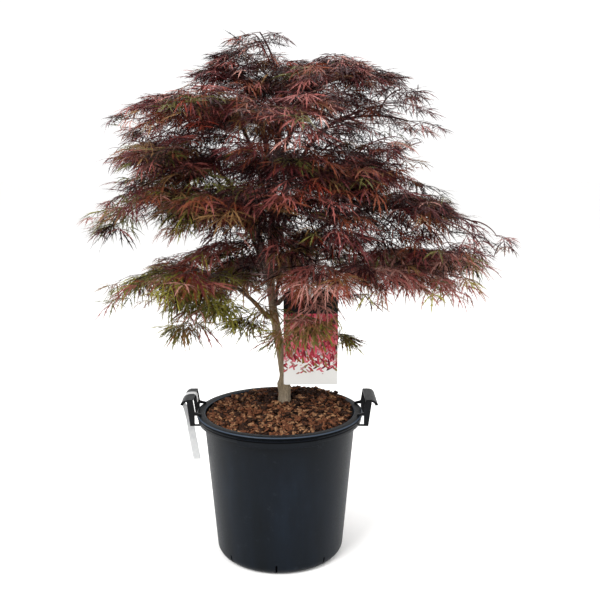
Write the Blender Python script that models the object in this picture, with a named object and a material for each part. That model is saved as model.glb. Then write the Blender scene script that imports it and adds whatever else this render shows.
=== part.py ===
"""A laceleaf Japanese maple in a nursery pot.

Metres, +Z up. The origin is the middle of the pot's flat underside and -Y is the front. Azimuths are counted
from +X, the right, towards +Y, the back. Values that differ round the plant are (right, back, left, front).
"""

import math
import random

import bmesh
import bpy
import numpy as np
from mathutils import Matrix
from mathutils.bvhtree import BVHTree

GAP = 0.0003  # left between two pieces that touch

# ---------------------------------------------------------------- driving sizes
POT_HEIGHT = 0.351
RIM_RADIUS = 0.200
RIM_DEPTH = 0.021  # height of the turned-down rim
RIM_WALL = 0.0045  # thickness of its outer band
RIM_CHAMFER = (0.003, 0.004)  # across and down, at its two upper edges
WALL_TOP_RADIUS = 0.182  # outside, under the rim
WALL_FOOT_RADIUS = 0.153  # outside, where the wall's slope would meet the floor
FOOT_EDGE_RADIUS = 0.020
WALL = 0.0035
POT_SIDES = 36
DRAIN_SLOTS = 8
DRAIN_SIZE = (0.060, 0.0045, 0.016)  # into the wall, across, up
DRAIN_FOOT = 0.004  # height of a slot's lower end
FIRST_DRAIN = -92  # azimuth of the front slot

HANDLE_SPAN = 0.102  # along the rim, over both legs
HANDLE_TOP = 0.389
LEG_THICKNESS = 0.006
LEG_FOOT = 0.326
LEG_SIDES = ((0.1955, 0.2110), (0.2040, 0.2190))  # inner and outer side at the foot, and at the top
HOOK_END = 0.184  # how far in the hooks over and under the rim reach
HOOK_THICKNESS = 0.004
HOOK_FILLET = 0.004  # of the corner between the upper hook and the leg
GRIP_BEND = 0.015  # radius of the grip's outward curl
GRIP_TURN = 78  # degrees that it curls through
GRIP_THICKNESS = 0.0032
GRIP_LIP = 0.004  # how much thicker the curl grows towards its edge
GRIP_OVERHANG = 0.0005  # past each leg
GRIP_STEPS = 6

MULCH_SINK = 0.012  # depth of the lowest mulch below the rim
MULCH_HEAP = 0.032  # height of its heap above that
HEAP_PLACE = (0.045, 0.050)
HEAP_SPREAD = 0.150
MULCH_SIDES = 32
MULCH_RINGS = (0.12, 0.25, 0.42, 0.62, 0.82, 1.0)  # shares of the way from the trunk to the pot's wall
MULCH_PLAY = 0.0012  # between the mulch and the faceted wall
SEAT_RADIUS = 0.022  # of the level place under the trunk

TRUNK_FOOT = (0.011, 0.030, 0.364)
TRUNK_TOP = 1.095
TRUNK_LEAN = -0.031  # shift to the left above the graft
LEAN_HEIGHTS = (0.395, 0.660)  # where the shift starts and ends
TRUNK_RETURN = 0.020  # and back again towards the tip
RETURN_HEIGHTS = (0.700, 1.095)
TRUNK_ADVANCE = -0.014  # shift to the front
ADVANCE_HEIGHTS = (0.380, 0.880)
GRAFT_HEIGHT = 0.413
STOCK_RADIUS = 0.0142  # rootstock, below the graft
SCION_RADIUS = 0.0112  # grafted stem, above it
SWELLING = 0.0028  # more radius at the graft, and at the root flare
TRUNK_TIP_RADIUS = 0.0042
TRUNK_STEPS = 14  # rings above the graft

TAG_WIDTH = 0.127
TAG_HEIGHT = 0.224
TAG_FOOT = (0.074, -0.0335, 0.423)  # middle of its lower edge
TAG_THICKNESS = 0.0010
TAG_CORNER = 0.004
STRAP_WIDTH = 0.010
STRAP_THICKNESS = 0.0008
STRAP_LOOP_RADIUS = 0.0110
STRAP_SLACK = 0.0022  # between the loop and the bough, which rises across the strap
STRAP_LAP = 0.014  # how far its ends reach down the tag
TAG_ROOM = (TAG_WIDTH / 2 + 0.003, 0.004, TAG_HEIGHT / 2 + 0.003)  # half the box that twigs keep out of
STRAP_ROOM = (0.010, 0.045, 0.040)  # the same for the strap, round the middle of its loop

LABEL_WIDTH = 0.0185
LABEL_THICKNESS = 0.0006
LABEL_PLACE = 0.008  # along the grip, from its middle
LABEL_STAND = 0.0013  # its middle off the grip
# Its ends: distance out from the leg's inner side, drop below the handle's top, degrees turned frontward
LABEL_START = ((-0.0045, 0.020, 0), (-0.0035, 0.006, 0), (-0.0025, -0.0012, 0), (0.0025, -0.0014, 0))
LABEL_HANG = (
    (0.033, 0.020, 10),
    (0.024, 0.040, 30),
    (0.016, 0.065, 55),
    (0.012, 0.095, 70),
    (0.008, 0.120, 76),
    (0.004, 0.145, 78),
    (0.000, 0.168, 80),
)

# Each tier of boughs: height of their roots on the trunk, height and reach of the foliage's furthest tips,
# and each bough's azimuth with the way its masses fan out from its tip.
FAN_OF_THREE = (-40, 0, 40)
FAN_OF_TWO = (-30, 30)
FAN_OF_ONE = (0,)
TIERS = (
    dict(
        name="skirt",
        root=(0.612, 0.592, 0.578, 0.600),
        edge=(0.632, 0.615, 0.612, 0.657),
        reach=(0.545, 0.430, 0.425, 0.370),
        boughs=((190, FAN_OF_THREE), (335, FAN_OF_THREE), (80, FAN_OF_TWO)),
    ),
    dict(
        name="lower",
        root=(0.680, 0.655, 0.665, 0.660),
        edge=(0.752, 0.745, 0.804, 0.755),
        reach=(0.612, 0.450, 0.458, 0.430),
        boughs=((250, FAN_OF_THREE), (5, FAN_OF_THREE), (130, FAN_OF_THREE)),
    ),
    dict(
        name="middle",
        root=(0.745, 0.755, 0.735, 0.745),
        edge=(0.850, 0.850, 0.862, 0.855),
        reach=(0.430, 0.420, 0.425, 0.430),
        boughs=((190, FAN_OF_THREE), (310, FAN_OF_THREE), (70, FAN_OF_TWO)),
    ),
    dict(
        name="upper",
        root=(0.850, 0.820, 0.840, 0.830),
        edge=(0.978, 0.960, 1.003, 0.965),
        reach=(0.415, 0.380, 0.430, 0.380),
        boughs=((255, FAN_OF_TWO), (15, FAN_OF_TWO), (140, FAN_OF_TWO)),
    ),
    dict(
        name="crest",
        root=(0.955, 0.965, 0.940, 0.950),
        edge=(1.045, 1.060, 1.072, 1.055),
        reach=(0.388, 0.315, 0.272, 0.320),
        boughs=((195, FAN_OF_ONE), (330, FAN_OF_TWO), (80, FAN_OF_ONE)),
    ),
)
TIP_RISE = 0.060  # how far the last leaf's stalk stands above the leaf's tips
TOP_STEM = dict(azimuth=235, length=0.150, rise=88, fall=36)  # it nods over to the front left
BOUGH_SHARE = 0.32  # share of its reach at which a bough ends
BOUGH_RADII = (0.0056, 0.0034)
BOUGH_STEPS = 5
BOUGH_BOW = 0.12  # rise of a bough's middle above its chord, as a share of its span
STEM_RADII = (0.0034, 0.0022)
STEM_STEPS = 4
STEM_BOW = 0.08
TWIG_RADII = (0.0012, 0.0012)
TWIG_STEPS = 2
TWIG_LENGTH = 0.115
TWIG_STATIONS = (0.24, 0.52, 0.80)  # shares of a stem at which pairs of twigs leave it
SHOOT_STATIONS = (0.08, 0.38, 0.68)  # and at which short shoots stand up
HANGER_STATIONS = (0.22, 0.58)  # and at which short shoots hang down
SHOOT_LENGTH = 0.040
LEAF_LENGTH = 0.130
LEAF_THICKNESS = 0.0030
LOBE_TURNS = (-92, -46, 0, 46, 92)  # degrees from the leaf's heading
LOBE_SHARES = (0.62, 0.88, 1.0, 0.88, 0.62)  # of the leaf's length
NOTCH_SHARE = 0.32
LEAF_STALK = 0.07  # share of the leaf's length between the twig's end and the leaf's middle
SHORTEST_LOBE = 0.45  # a lobe that its space cuts shorter than this share drops the leaf
SHORTEST_TWIG = 0.35  # the same for a twig
TRIALS = 9  # tries at finding room for a twig
TOP_LEAF_SHARE = 0.72  # size of the leaves round the crown's top
MOST_SPRAYS = 10  # in one mass, its stem included

SEED = 11
# What a side twig and a shoot draw evenly from: degrees, and shares of the lengths above
SIDE_TWIG = dict(turn=(42, 72), length=(0.75, 1.15), rise=(0, 24), fall=(-34, -14), bend=(5, 25))
SIDE_TWIG["leaf"] = (0.85, 1.0)
SHOOT = dict(turn=(-70, 70), length=(0.6, 1.2), rise=(35, 65), leaf=(0.75, 0.95))
DROOPS = dict(stem=(24, 34), twig=(26, 46), shoot=(18, 40), hanger=(36, 58))
TRIAL_SHRINK = 0.05  # share that a leaf gets smaller by at each try

CELL_HANG = 0.08  # share of its stem's span that a mass's space is centred below it
CELL_FLATNESS = 2.0  # how much more heights count than distances across, between masses
CELL_MARGIN = 0.0012
LIMB_MARGIN = 0.0016


# ---------------------------------------------------------------- materials
def finish(name, colour, roughness, metallic=0.0):
    material = bpy.data.materials.new(name)
    material.use_nodes = True
    shader = material.node_tree.nodes["Principled BSDF"]
    shader.inputs["Base Color"].default_value = (*colour, 1.0)
    shader.inputs["Roughness"].default_value = roughness
    shader.inputs["Metallic"].default_value = metallic
    return material


def make_finishes():
    return {
        "pot": finish("moulded_pot_plastic", (0.022, 0.026, 0.030), 0.42),
        "handle": finish("moulded_handle_plastic", (0.012, 0.013, 0.016), 0.45),
        "mulch": finish("bark_mulch", (0.160, 0.065, 0.028), 0.90),
        "bark": finish("maple_bark", (0.130, 0.105, 0.075), 0.85),
        "wine": finish("wine_leaf", (0.080, 0.018, 0.022), 0.55),
        "bronze": finish("bronze_leaf", (0.095, 0.045, 0.022), 0.55),
        "green": finish("greening_leaf", (0.085, 0.085, 0.022), 0.55),
        "tag": finish("printed_tag", (0.420, 0.100, 0.120), 0.40),
        "label": finish("white_label", (0.750, 0.750, 0.730), 0.50),
    }


# ---------------------------------------------------------------- directions and lines
def unit(vector):
    vector = np.asarray(vector, float)
    return vector / np.linalg.norm(vector)


def heading(azimuth):
    return np.array((math.cos(azimuth), math.sin(azimuth), 0.0))


def azimuth_of(way):
    return math.atan2(way[1], way[0])


def right_of(way):
    """The level direction to the right of a way, and +X for an upright one."""
    across = np.cross(way, (0, 0, 1))
    return unit(across) if np.linalg.norm(across) > 0.01 else np.array((1.0, 0.0, 0.0))


def ease(share):
    share = min(1.0, max(0.0, share))
    return share * share * (3 - 2 * share)


def eased_between(ends, value):
    return ease((value - ends[0]) / (ends[1] - ends[0]))


def sided(values, azimuth):
    """Blends (right, back, left, front) values evenly round the plant."""
    x, y = math.cos(azimuth), math.sin(azimuth)
    weights = (max(x, 0) ** 2, max(y, 0) ** 2, max(-x, 0) ** 2, max(-y, 0) ** 2)
    return sum(weight * value for weight, value in zip(weights, values))


def bowed(start, end, bow, steps):
    """A line from start to end whose middle stands above its chord by the share bow of its span."""
    share = np.linspace(0, 1, steps + 1)[:, None]
    lift = bow * np.linalg.norm(end - start) * 4 * share * (1 - share)
    return start + (end - start) * share + lift * np.array((0.0, 0.0, 1.0))


def arching(start, azimuth, length, rise, fall, bend, steps):
    """A line that sets out at the slope rise, turns sideways by bend and ends at the slope fall."""
    share = ((np.arange(steps) + 0.5) / steps)[:, None]
    slope = rise + (fall - rise) * share
    turn = azimuth + bend * share
    way = np.hstack((np.cos(slope) * np.cos(turn), np.cos(slope) * np.sin(turn), np.sin(slope)))
    return np.vstack((start, start + np.cumsum(way * length / steps, axis=0)))


def point_on(line, share):
    shares = np.linspace(0, 1, len(line))
    return np.array([np.interp(share, shares, line[:, k]) for k in range(3)])


def spans(line, radii):
    """The stretches of a tapering limb, each as its two ends and its thicker radius."""
    radius = np.interp(np.linspace(0, 1, len(line)), np.linspace(0, 1, len(radii)), radii)
    return [(line[i], line[i + 1], radius[i]) for i in range(len(line) - 1)]


# ---------------------------------------------------------------- meshes and curves
def add_object(name, data, material):
    data.materials.append(material)
    piece = bpy.data.objects.new(name, data)
    bpy.context.scene.collection.objects.link(piece)
    return piece


def mesh_of(name, points, faces):
    mesh = bpy.data.meshes.new(name)
    mesh.from_pydata([tuple(map(float, p)) for p in points], [], [tuple(map(int, f)) for f in faces])
    return mesh


def mesh_of_shape(name, shape):
    mesh = bpy.data.meshes.new(name)
    bmesh.ops.recalc_face_normals(shape, faces=shape.faces)
    shape.to_mesh(mesh)
    shape.free()
    return mesh


def smooth(piece, angle=40):
    piece.data.shade_smooth()
    piece.data.set_sharp_from_angle(angle=math.radians(angle))


def round_limb(name, line, radii, material, resolution=1):
    """A tapering round limb, as a curve with a bevel."""
    curve = bpy.data.curves.new(name, "CURVE")
    curve.dimensions = "3D"
    curve.bevel_depth = 1.0
    curve.bevel_resolution = resolution
    curve.use_fill_caps = True
    spline = curve.splines.new("POLY")
    spline.points.add(len(line) - 1)
    for point, place, radius in zip(spline.points, line, radii):
        point.co = (*place, 1.0)
        point.radius = radius
    return add_object(name, curve, material)


def plate(name, outline, low, high):
    """An outline of (x, z) points as a closed plate between two values of y."""
    shape = bmesh.new()
    face = shape.faces.new([shape.verts.new((x, low, z)) for x, z in outline])
    grown = bmesh.ops.extrude_face_region(shape, geom=[face])["geom"]
    moved = [v for v in grown if isinstance(v, bmesh.types.BMVert)]
    bmesh.ops.translate(shape, vec=(0, high - low, 0), verts=moved)
    return mesh_of_shape(name, shape)


def band(name, centres, widthways, width, thickness, material):
    """A flat band along centres, its width along the directions widthways, thickened evenly to both sides."""
    edges = [(c - width / 2 * w, c + width / 2 * w) for c, w in zip(np.array(centres), np.array(widthways))]
    points = [point for pair in edges for point in pair]
    faces = [(i, i + 1, i + 3, i + 2) for i in range(0, len(points) - 2, 2)]
    piece = add_object(name, mesh_of(name, points, faces), material)
    body = piece.modifiers.new("thickness", "SOLIDIFY")
    body.thickness = thickness
    body.offset = 0
    return piece


def arc(centre, radius, degrees):
    turns = np.radians(degrees)
    return [(centre[0] + radius * math.cos(t), centre[1] + radius * math.sin(t)) for t in turns]


# ---------------------------------------------------------------- joining shells
def shell_numbers(faces, count):
    """For each vertex the lowest vertex number of its shell, spread over the faces until nothing changes."""
    mark = np.arange(count)
    while True:
        spread = mark.copy()
        np.minimum.at(spread, faces.ravel(), np.repeat(mark[faces].min(axis=1), 3))
        spread = spread[spread]
        if (spread == mark).all():
            return mark
        mark = spread


def largest_shell(mesh):
    """Points and faces of the largest shell, without loose scraps and the inner shells of sealed hollows."""
    mesh.calc_loop_triangles()
    faces = np.empty(len(mesh.loop_triangles) * 3, np.int32)
    mesh.loop_triangles.foreach_get("vertices", faces)
    points = np.empty(len(mesh.vertices) * 3, np.float32)
    mesh.vertices.foreach_get("co", points)
    faces = faces.reshape(-1, 3)
    mark = shell_numbers(faces, len(mesh.vertices))
    numbers, sizes = np.unique(mark[faces[:, 0]], return_counts=True)
    faces = faces[mark[faces[:, 0]] == numbers[sizes.argmax()]]
    used, index = np.unique(faces, return_inverse=True)
    return points.reshape(-1, 3)[used], index.reshape(-1, 3)


def join(name, meshes, material):
    """One mesh from closed meshes that overlap, by a single union over a collection of them."""
    home = bpy.data.collections.new(name)
    bpy.context.scene.collection.children.link(home)
    whole = add_object(name + "_whole", meshes[0], material)
    others = [bpy.data.objects.new(name + "_shell", mesh) for mesh in meshes[1:]]
    for other in others:
        home.objects.link(other)
    union = whole.modifiers.new("join", "BOOLEAN")
    union.operation = "UNION"
    union.operand_type = "COLLECTION"
    union.collection = home
    union.solver = "EXACT"
    graph = bpy.context.evaluated_depsgraph_get()
    joined = bpy.data.meshes.new_from_object(whole.evaluated_get(graph))
    points, faces = largest_shell(joined)
    for piece in (whole, *others):
        bpy.data.objects.remove(piece)
    for mesh in (*meshes, joined):
        bpy.data.meshes.remove(mesh)
    bpy.data.collections.remove(home)
    return mesh_of(name, points, faces)


# ---------------------------------------------------------------- the pot
def wall_radius(height):
    """Outside radius of the tapered wall."""
    return WALL_FOOT_RADIUS + (WALL_TOP_RADIUS - WALL_FOOT_RADIUS) * height / (POT_HEIGHT - RIM_DEPTH)


def pot_profile():
    """The pot's section: out along its floor, up inside, over the rim and down outside."""
    edge = wall_radius(FOOT_EDGE_RADIUS)
    rim_foot = POT_HEIGHT - RIM_DEPTH
    across, down = RIM_CHAMFER
    inside = [
        (0.0, WALL),
        (edge - FOOT_EDGE_RADIUS, WALL),
        (edge - WALL, FOOT_EDGE_RADIUS),
        (WALL_TOP_RADIUS - WALL, POT_HEIGHT - down),
        (WALL_TOP_RADIUS - WALL + across, POT_HEIGHT),
    ]
    rim = [
        (RIM_RADIUS - across, POT_HEIGHT),
        (RIM_RADIUS, POT_HEIGHT - down),
        (RIM_RADIUS, rim_foot),
        (RIM_RADIUS - RIM_WALL, rim_foot),
        (RIM_RADIUS - RIM_WALL, rim_foot + RIM_WALL),
        (WALL_TOP_RADIUS, rim_foot + RIM_WALL),
    ]
    foot = arc((edge - FOOT_EDGE_RADIUS, FOOT_EDGE_RADIUS), FOOT_EDGE_RADIUS, (0, -30, -60, -90))
    return [*inside, *rim, *foot, (0.0, 0.0)]


def make_pot(finishes):
    profile = pot_profile()
    mesh = bpy.data.meshes.new("pot")
    mesh.from_pydata([(r, 0, z) for r, z in profile], [(i, i + 1) for i in range(len(profile) - 1)], [])
    pot = add_object("pot", mesh, finishes["pot"])
    turn = pot.modifiers.new("turn", "SCREW")
    turn.steps = POT_SIDES
    turn.render_steps = POT_SIDES
    turn.use_merge_vertices = True
    turn.merge_threshold = 0.0001
    for i in range(DRAIN_SLOTS):
        cutter = make_drain_cutter(i, finishes)
        cut = pot.modifiers.new(f"drain_{i}", "BOOLEAN")
        cut.operation = "DIFFERENCE"
        cut.object = cutter


def make_drain_cutter(number, finishes):
    shape = bmesh.new()
    bmesh.ops.create_cube(shape, size=1.0, matrix=Matrix.Diagonal((*DRAIN_SIZE, 1.0)))
    cutter = add_object(f"drain_cutter_{number}", mesh_of_shape("drain_cutter", shape), finishes["pot"])
    turn = math.radians(FIRST_DRAIN) + 2 * math.pi * number / DRAIN_SLOTS
    cutter.location = (*(WALL_FOOT_RADIUS * heading(turn))[:2], DRAIN_FOOT + DRAIN_SIZE[2] / 2)
    cutter.rotation_euler.z = turn
    cutter.hide_render = True
    cutter.display_type = "WIRE"
    return cutter


def leg_outline():
    """Side view of a handle's leg, with its hooks over and under the rim."""
    (foot_in, foot_out), (top_in, top_out) = LEG_SIDES
    over, under = POT_HEIGHT + GAP, POT_HEIGHT - RIM_DEPTH - GAP
    return [
        (HOOK_END, under),
        (HOOK_END, LEG_FOOT),
        (foot_out, LEG_FOOT),
        (top_out, HANDLE_TOP),
        (top_in, HANDLE_TOP),
        (foot_in + HOOK_FILLET, over + HOOK_THICKNESS + HOOK_FILLET),
        (HOOK_END, over + HOOK_THICKNESS),
        (HOOK_END, over),
        (foot_in, over),
        (foot_in, under),
    ]


def grip_outline():
    """Side view of the grip: level from the legs' inner side, then curling outwards and down to a thick lip."""
    inner, outer = LEG_SIDES[1]
    middle = HANDLE_TOP - GRIP_BEND
    turns = np.linspace(90, 90 - GRIP_TURN, GRIP_STEPS)
    upper = [(inner, HANDLE_TOP), *arc((outer, middle), GRIP_BEND, turns)]
    within = arc((outer - GRIP_LIP, middle), GRIP_BEND - GRIP_THICKNESS, turns)
    lower = [(inner, HANDLE_TOP - GRIP_THICKNESS), *within]
    return upper + lower[::-1]


def make_handles(finishes):
    """Two handles clipped over the rim, left and right."""
    half = HANDLE_SPAN / 2
    meshes = [plate("grip", grip_outline(), -half - GRIP_OVERHANG, half + GRIP_OVERHANG)]
    for low, high in ((-half, LEG_THICKNESS - half), (half - LEG_THICKNESS, half)):
        meshes.append(plate("leg", leg_outline(), low, high))
    mesh = join("handle", meshes, finishes["handle"])
    for name, turn in (("handle_right", 0.0), ("handle_left", math.pi)):
        handle = bpy.data.objects.new(name, mesh)
        handle.rotation_euler.z = turn
        bpy.context.scene.collection.objects.link(handle)
    mesh.materials.append(finishes["handle"])


# ---------------------------------------------------------------- the mulch
def mulch_height(x, y):
    """Height of the mulch: heaped behind and right of the middle, with a level seat under the trunk."""
    away = math.hypot(x - HEAP_PLACE[0], y - HEAP_PLACE[1]) / HEAP_SPREAD
    height = POT_HEIGHT - MULCH_SINK + MULCH_HEAP * math.exp(-away * away)
    free = ease(math.hypot(x - TRUNK_FOOT[0], y - TRUNK_FOOT[1]) / SEAT_RADIUS - 1)
    return free * height + (1 - free) * (TRUNK_FOOT[2] - GAP)


def make_mulch(finishes):
    """The filled inside of the pot. Its top is rings round the trunk's seat that widen to the pot's wall."""
    top_radius = WALL_TOP_RADIUS - WALL - MULCH_PLAY
    low = WALL + MULCH_PLAY
    edge = FOOT_EDGE_RADIUS + MULCH_PLAY
    turns = 2 * math.pi * np.arange(MULCH_SIDES) / MULCH_SIDES
    rings = []
    for share in MULCH_RINGS:
        x = TRUNK_FOOT[0] * (1 - share) + top_radius * share * np.cos(turns)
        y = TRUNK_FOOT[1] * (1 - share) + top_radius * share * np.sin(turns)
        rings.append([(a, b, mulch_height(a, b)) for a, b in zip(x, y)])
    for radius, height in ((wall_radius(edge) - low, edge), (wall_radius(0) - FOOT_EDGE_RADIUS, low)):
        rings.append([(radius * math.cos(t), radius * math.sin(t), height) for t in turns])
    shape = bmesh.new()
    loops = [[shape.verts.new(point) for point in ring] for ring in rings]
    for outer, inner in zip(loops, loops[1:]):
        for i in range(MULCH_SIDES):
            j = (i + 1) % MULCH_SIDES
            shape.faces.new((outer[i], inner[i], inner[j], outer[j]))
    shape.faces.new(loops[0])
    shape.faces.new(loops[-1])
    smooth(add_object("bark_mulch", mesh_of_shape("bark_mulch", shape), finishes["mulch"]))


# ---------------------------------------------------------------- the trunk
def trunk_axis(height):
    """Middle of the trunk: upright in the rootstock, leaning left above the graft, coming back to its tip."""
    x = TRUNK_FOOT[0] + TRUNK_LEAN * eased_between(LEAN_HEIGHTS, height)
    x += TRUNK_RETURN * eased_between(RETURN_HEIGHTS, height)
    y = TRUNK_FOOT[1] + TRUNK_ADVANCE * eased_between(ADVANCE_HEIGHTS, height)
    return np.array((x, y, height))


def trunk_radius(height):
    """Flared foot, stout rootstock, a swelling at the graft, then an even taper to the tip."""
    if height < GRAFT_HEIGHT:
        return STOCK_RADIUS + SWELLING * math.exp(-(height - TRUNK_FOOT[2]) / 0.010)
    rise = (height - GRAFT_HEIGHT) / (TRUNK_TOP - GRAFT_HEIGHT)
    taper = (SCION_RADIUS - TRUNK_TIP_RADIUS) * rise**1.3
    return SCION_RADIUS - taper + SWELLING * math.exp(-rise / 0.020)


def make_trunk(finishes):
    heights = [TRUNK_FOOT[2] + rise for rise in (0.0, 0.005, 0.014, 0.031)]
    heights += [GRAFT_HEIGHT + rise for rise in (-0.003, 0.003, 0.020)]
    heights += list(np.linspace(GRAFT_HEIGHT + 0.057, TRUNK_TOP, TRUNK_STEPS))
    line = [trunk_axis(height) for height in heights]
    round_limb("trunk", line, [trunk_radius(height) for height in heights], finishes["bark"], resolution=3)


# ---------------------------------------------------------------- limbs of the crown
def grow_limbs():
    """Every bough and every mass's stem. The same seed always gives the same crown."""
    chance = random.Random(SEED)
    boughs, stems = [], []
    for tier in TIERS:
        for number, (degrees, fan) in enumerate(tier["boughs"], 1):
            azimuth = math.radians(degrees)
            bough = grow_bough(tier, number, azimuth, chance)
            boughs.append(bough)
            stems += grow_stems(tier, number, azimuth, fan, bough["line"], chance)
    top = trunk_axis(TRUNK_TOP)
    ahead = unit(top - trunk_axis(TRUNK_TOP - 0.01))
    azimuth, rise, fall = (math.radians(TOP_STEM[key]) for key in ("azimuth", "rise", "fall"))
    line = arching(top + ahead * GAP, azimuth, TOP_STEM["length"], rise, fall, 0.0, STEM_STEPS)
    stems.append(dict(name="mass_top", tier="top", line=line, azimuth=azimuth, facing=ahead))
    return boughs, stems


def grow_bough(tier, number, azimuth, chance):
    """A bough that leaves the trunk 0.3 mm clear of it and ends part of the way to its tier's tips."""
    height = sided(tier["root"], azimuth)
    along = unit(trunk_axis(height + 0.005) - trunk_axis(height - 0.005))
    out = unit(heading(azimuth) - along * (heading(azimuth) @ along))
    start = trunk_axis(height) + out * (trunk_radius(height) + GAP)
    end = trunk_axis(sided(tier["edge"], azimuth) + TIP_RISE + chance.uniform(-0.010, 0.010))
    end = end + heading(azimuth) * sided(tier["reach"], azimuth) * BOUGH_SHARE
    free = bowed(start + out * 0.006, end, BOUGH_BOW, BOUGH_STEPS - 1)
    return dict(name=f"bough_{tier['name']}_{number}", line=np.vstack((start, free)))


def grow_stems(tier, number, azimuth, fan, bough, chance):
    """The stems that fan out from a bough's tip: one may run straight on, the others leave its sides."""
    stems = []
    ahead = unit(bough[-1] - bough[-2])
    for letter, turn in zip("abc", fan):
        goal = azimuth + math.radians(turn + chance.uniform(-5, 5))
        reach = sided(tier["reach"], goal) * chance.uniform(0.96, 1.02) - LEAF_LENGTH * 0.85
        end = trunk_axis(sided(tier["edge"], goal) + TIP_RISE + chance.uniform(-0.015, 0.015))
        end = end + heading(goal) * reach
        aside = right_of(ahead) * -math.copysign(1, turn)
        facing = ahead if turn == 0 else aside
        root = bough[-1] + ahead * GAP
        if turn != 0:
            root = bough[-1] - ahead * 0.004 + aside * (BOUGH_RADII[1] + GAP)
        line = bowed(root, end, STEM_BOW, STEM_STEPS)
        name = f"mass_{tier['name']}_{number}{letter}"
        stems.append(dict(name=name, tier=tier["name"], line=line, azimuth=goal, facing=facing))
    return stems


# ---------------------------------------------------------------- the space of each mass
NO_WALLS = (np.empty((0, 3)), np.empty(0))


def cell_planes(stems):
    """For each mass the planes between it and the others: a point inside has normals @ point < limits."""
    weight = np.array((1.0, 1.0, CELL_FLATNESS**2))
    hearts = np.array([stem["line"][0] * 0.35 + stem["line"][-1] * 0.65 for stem in stems])
    lengths = [np.linalg.norm(stem["line"][-1] - stem["line"][0]) for stem in stems]
    hearts[:, 2] -= CELL_HANG * np.array(lengths)
    planes = []
    for i, heart in enumerate(hearts):
        others = np.delete(hearts, i, axis=0)
        normals = 2 * (others - heart) * weight
        limits = (others**2 * weight).sum(axis=1) - (heart**2 * weight).sum()
        length = np.linalg.norm(normals, axis=1)
        planes.append((normals / length[:, None], limits / length - CELL_MARGIN))
    return planes


def share_inside(start, point, cell):
    """How much of the way from start to point stays in the cell."""
    normals, limits = cell
    room = limits - normals @ start
    step = normals @ (point - start)
    if (room <= 0).any():
        return 0.0
    blocked = step > room
    return float((room[blocked] / step[blocked]).min()) if blocked.any() else 1.0


def clear_of_limbs(points, limbs):
    """Whether every point keeps its distance from each stretch of a limb."""
    for start, end, radius in limbs:
        way = end - start
        share = np.clip(((points - start) @ way) / (way @ way), 0, 1)
        if (np.linalg.norm(points - start - share[:, None] * way, axis=1) < radius + LIMB_MARGIN).any():
            return False
    return True


def clear_of_tag(points):
    """Whether every point keeps away from the tag and its strap."""
    tag = np.array(TAG_FOOT) + (0, 0, TAG_HEIGHT / 2)
    strap = np.array(TAG_FOOT) + (0, 0, TAG_HEIGHT + STRAP_ROOM[2] / 2)
    near_tag = (np.abs(points - tag) < TAG_ROOM).all(axis=1)
    near_strap = (np.abs(points - strap) < STRAP_ROOM).all(axis=1)
    return not (near_tag | near_strap).any()


# ---------------------------------------------------------------- leaves, twigs and masses
def leaf_rim(centre, azimuth, length, droop, cell):
    """Lobe tips and notches round a drooping leaf, shortened to stay in the cell. None if too short."""
    rim = []
    for i, (turn, share) in enumerate(zip(LOBE_TURNS, LOBE_SHARES)):
        along = heading(azimuth + math.radians(turn)) * math.cos(droop)
        tip = centre + share * length * (along - np.array((0, 0, math.sin(droop))))
        kept = share_inside(centre, tip, cell)
        if kept < SHORTEST_LOBE:
            return None
        rim.append(centre + (tip - centre) * kept)
        if i < len(LOBE_TURNS) - 1:
            along = heading(azimuth + math.radians((turn + LOBE_TURNS[i + 1]) / 2)) * math.cos(droop * 0.8)
            notch = centre + NOTCH_SHARE * length * (along - np.array((0, 0, math.sin(droop * 0.8))))
            if share_inside(centre, notch, cell) < 1:
                return None
            rim.append(notch)
    return rim


def spray_shell(line, radii, azimuth, length, droop, cell, facing=None):
    """A three-sided twig that ends in a palmate leaf, as one closed shell. None where the leaf has no room.

    Each ring of the twig has a left, a right and a lower corner. The leaf's rim runs from the last ring's
    right corner round the lobes to its left corner, with a peak above the leaf's middle and one below.
    """
    centre = line[-1] + unit(line[-1] - line[-2]) * length * LEAF_STALK
    rim = leaf_rim(centre, azimuth, length, droop, cell)
    if rim is None:
        return None
    ways = np.gradient(line, axis=0)
    if facing is not None:
        ways[0] = facing
    points = []
    for place, way, radius in zip(line, ways, np.linspace(radii[0], radii[1], len(line))):
        right = right_of(way)
        up = unit(np.cross(right, way))
        for turn in np.radians((150, 30, 270)):
            points.append(place + radius * (math.cos(turn) * right + math.sin(turn) * up))
    left = len(points) - 3
    right, lower, above, below = left + 1, left + 2, left + 3, left + 4
    half = np.array((0, 0, LEAF_THICKNESS / 2))
    points += [centre + half, centre - half, *rim]
    faces = [(0, 2, 1)]
    for ring in range(0, left, 3):
        faces += [(ring + i, ring + j, ring + 3 + j, ring + 3 + i) for i, j in ((0, 1), (1, 2), (2, 0))]
    chain = [right, *range(below + 1, len(points)), left]
    for here, after in zip(chain, chain[1:]):
        faces += [(above, here, after), (below, after, here)]
    faces += [(above, left, right), (below, lower, left), (below, right, lower)]
    return np.array(points), faces


def search_tree(shell):
    """A search tree over a spray without its first stretch, which is sunk in the stem."""
    points, faces = shell
    return BVHTree.FromPolygons([tuple(p) for p in points], faces[4:])


def samples_of(shell, rings):
    """Points spread over a spray, to test for what it might touch."""
    points = shell[0]
    centre, rim = points[3 * rings], points[3 * rings + 2 :]
    return np.vstack([points[3:], *(centre + (rim - centre) * share for share in (0.25, 0.5, 0.75))])


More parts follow.
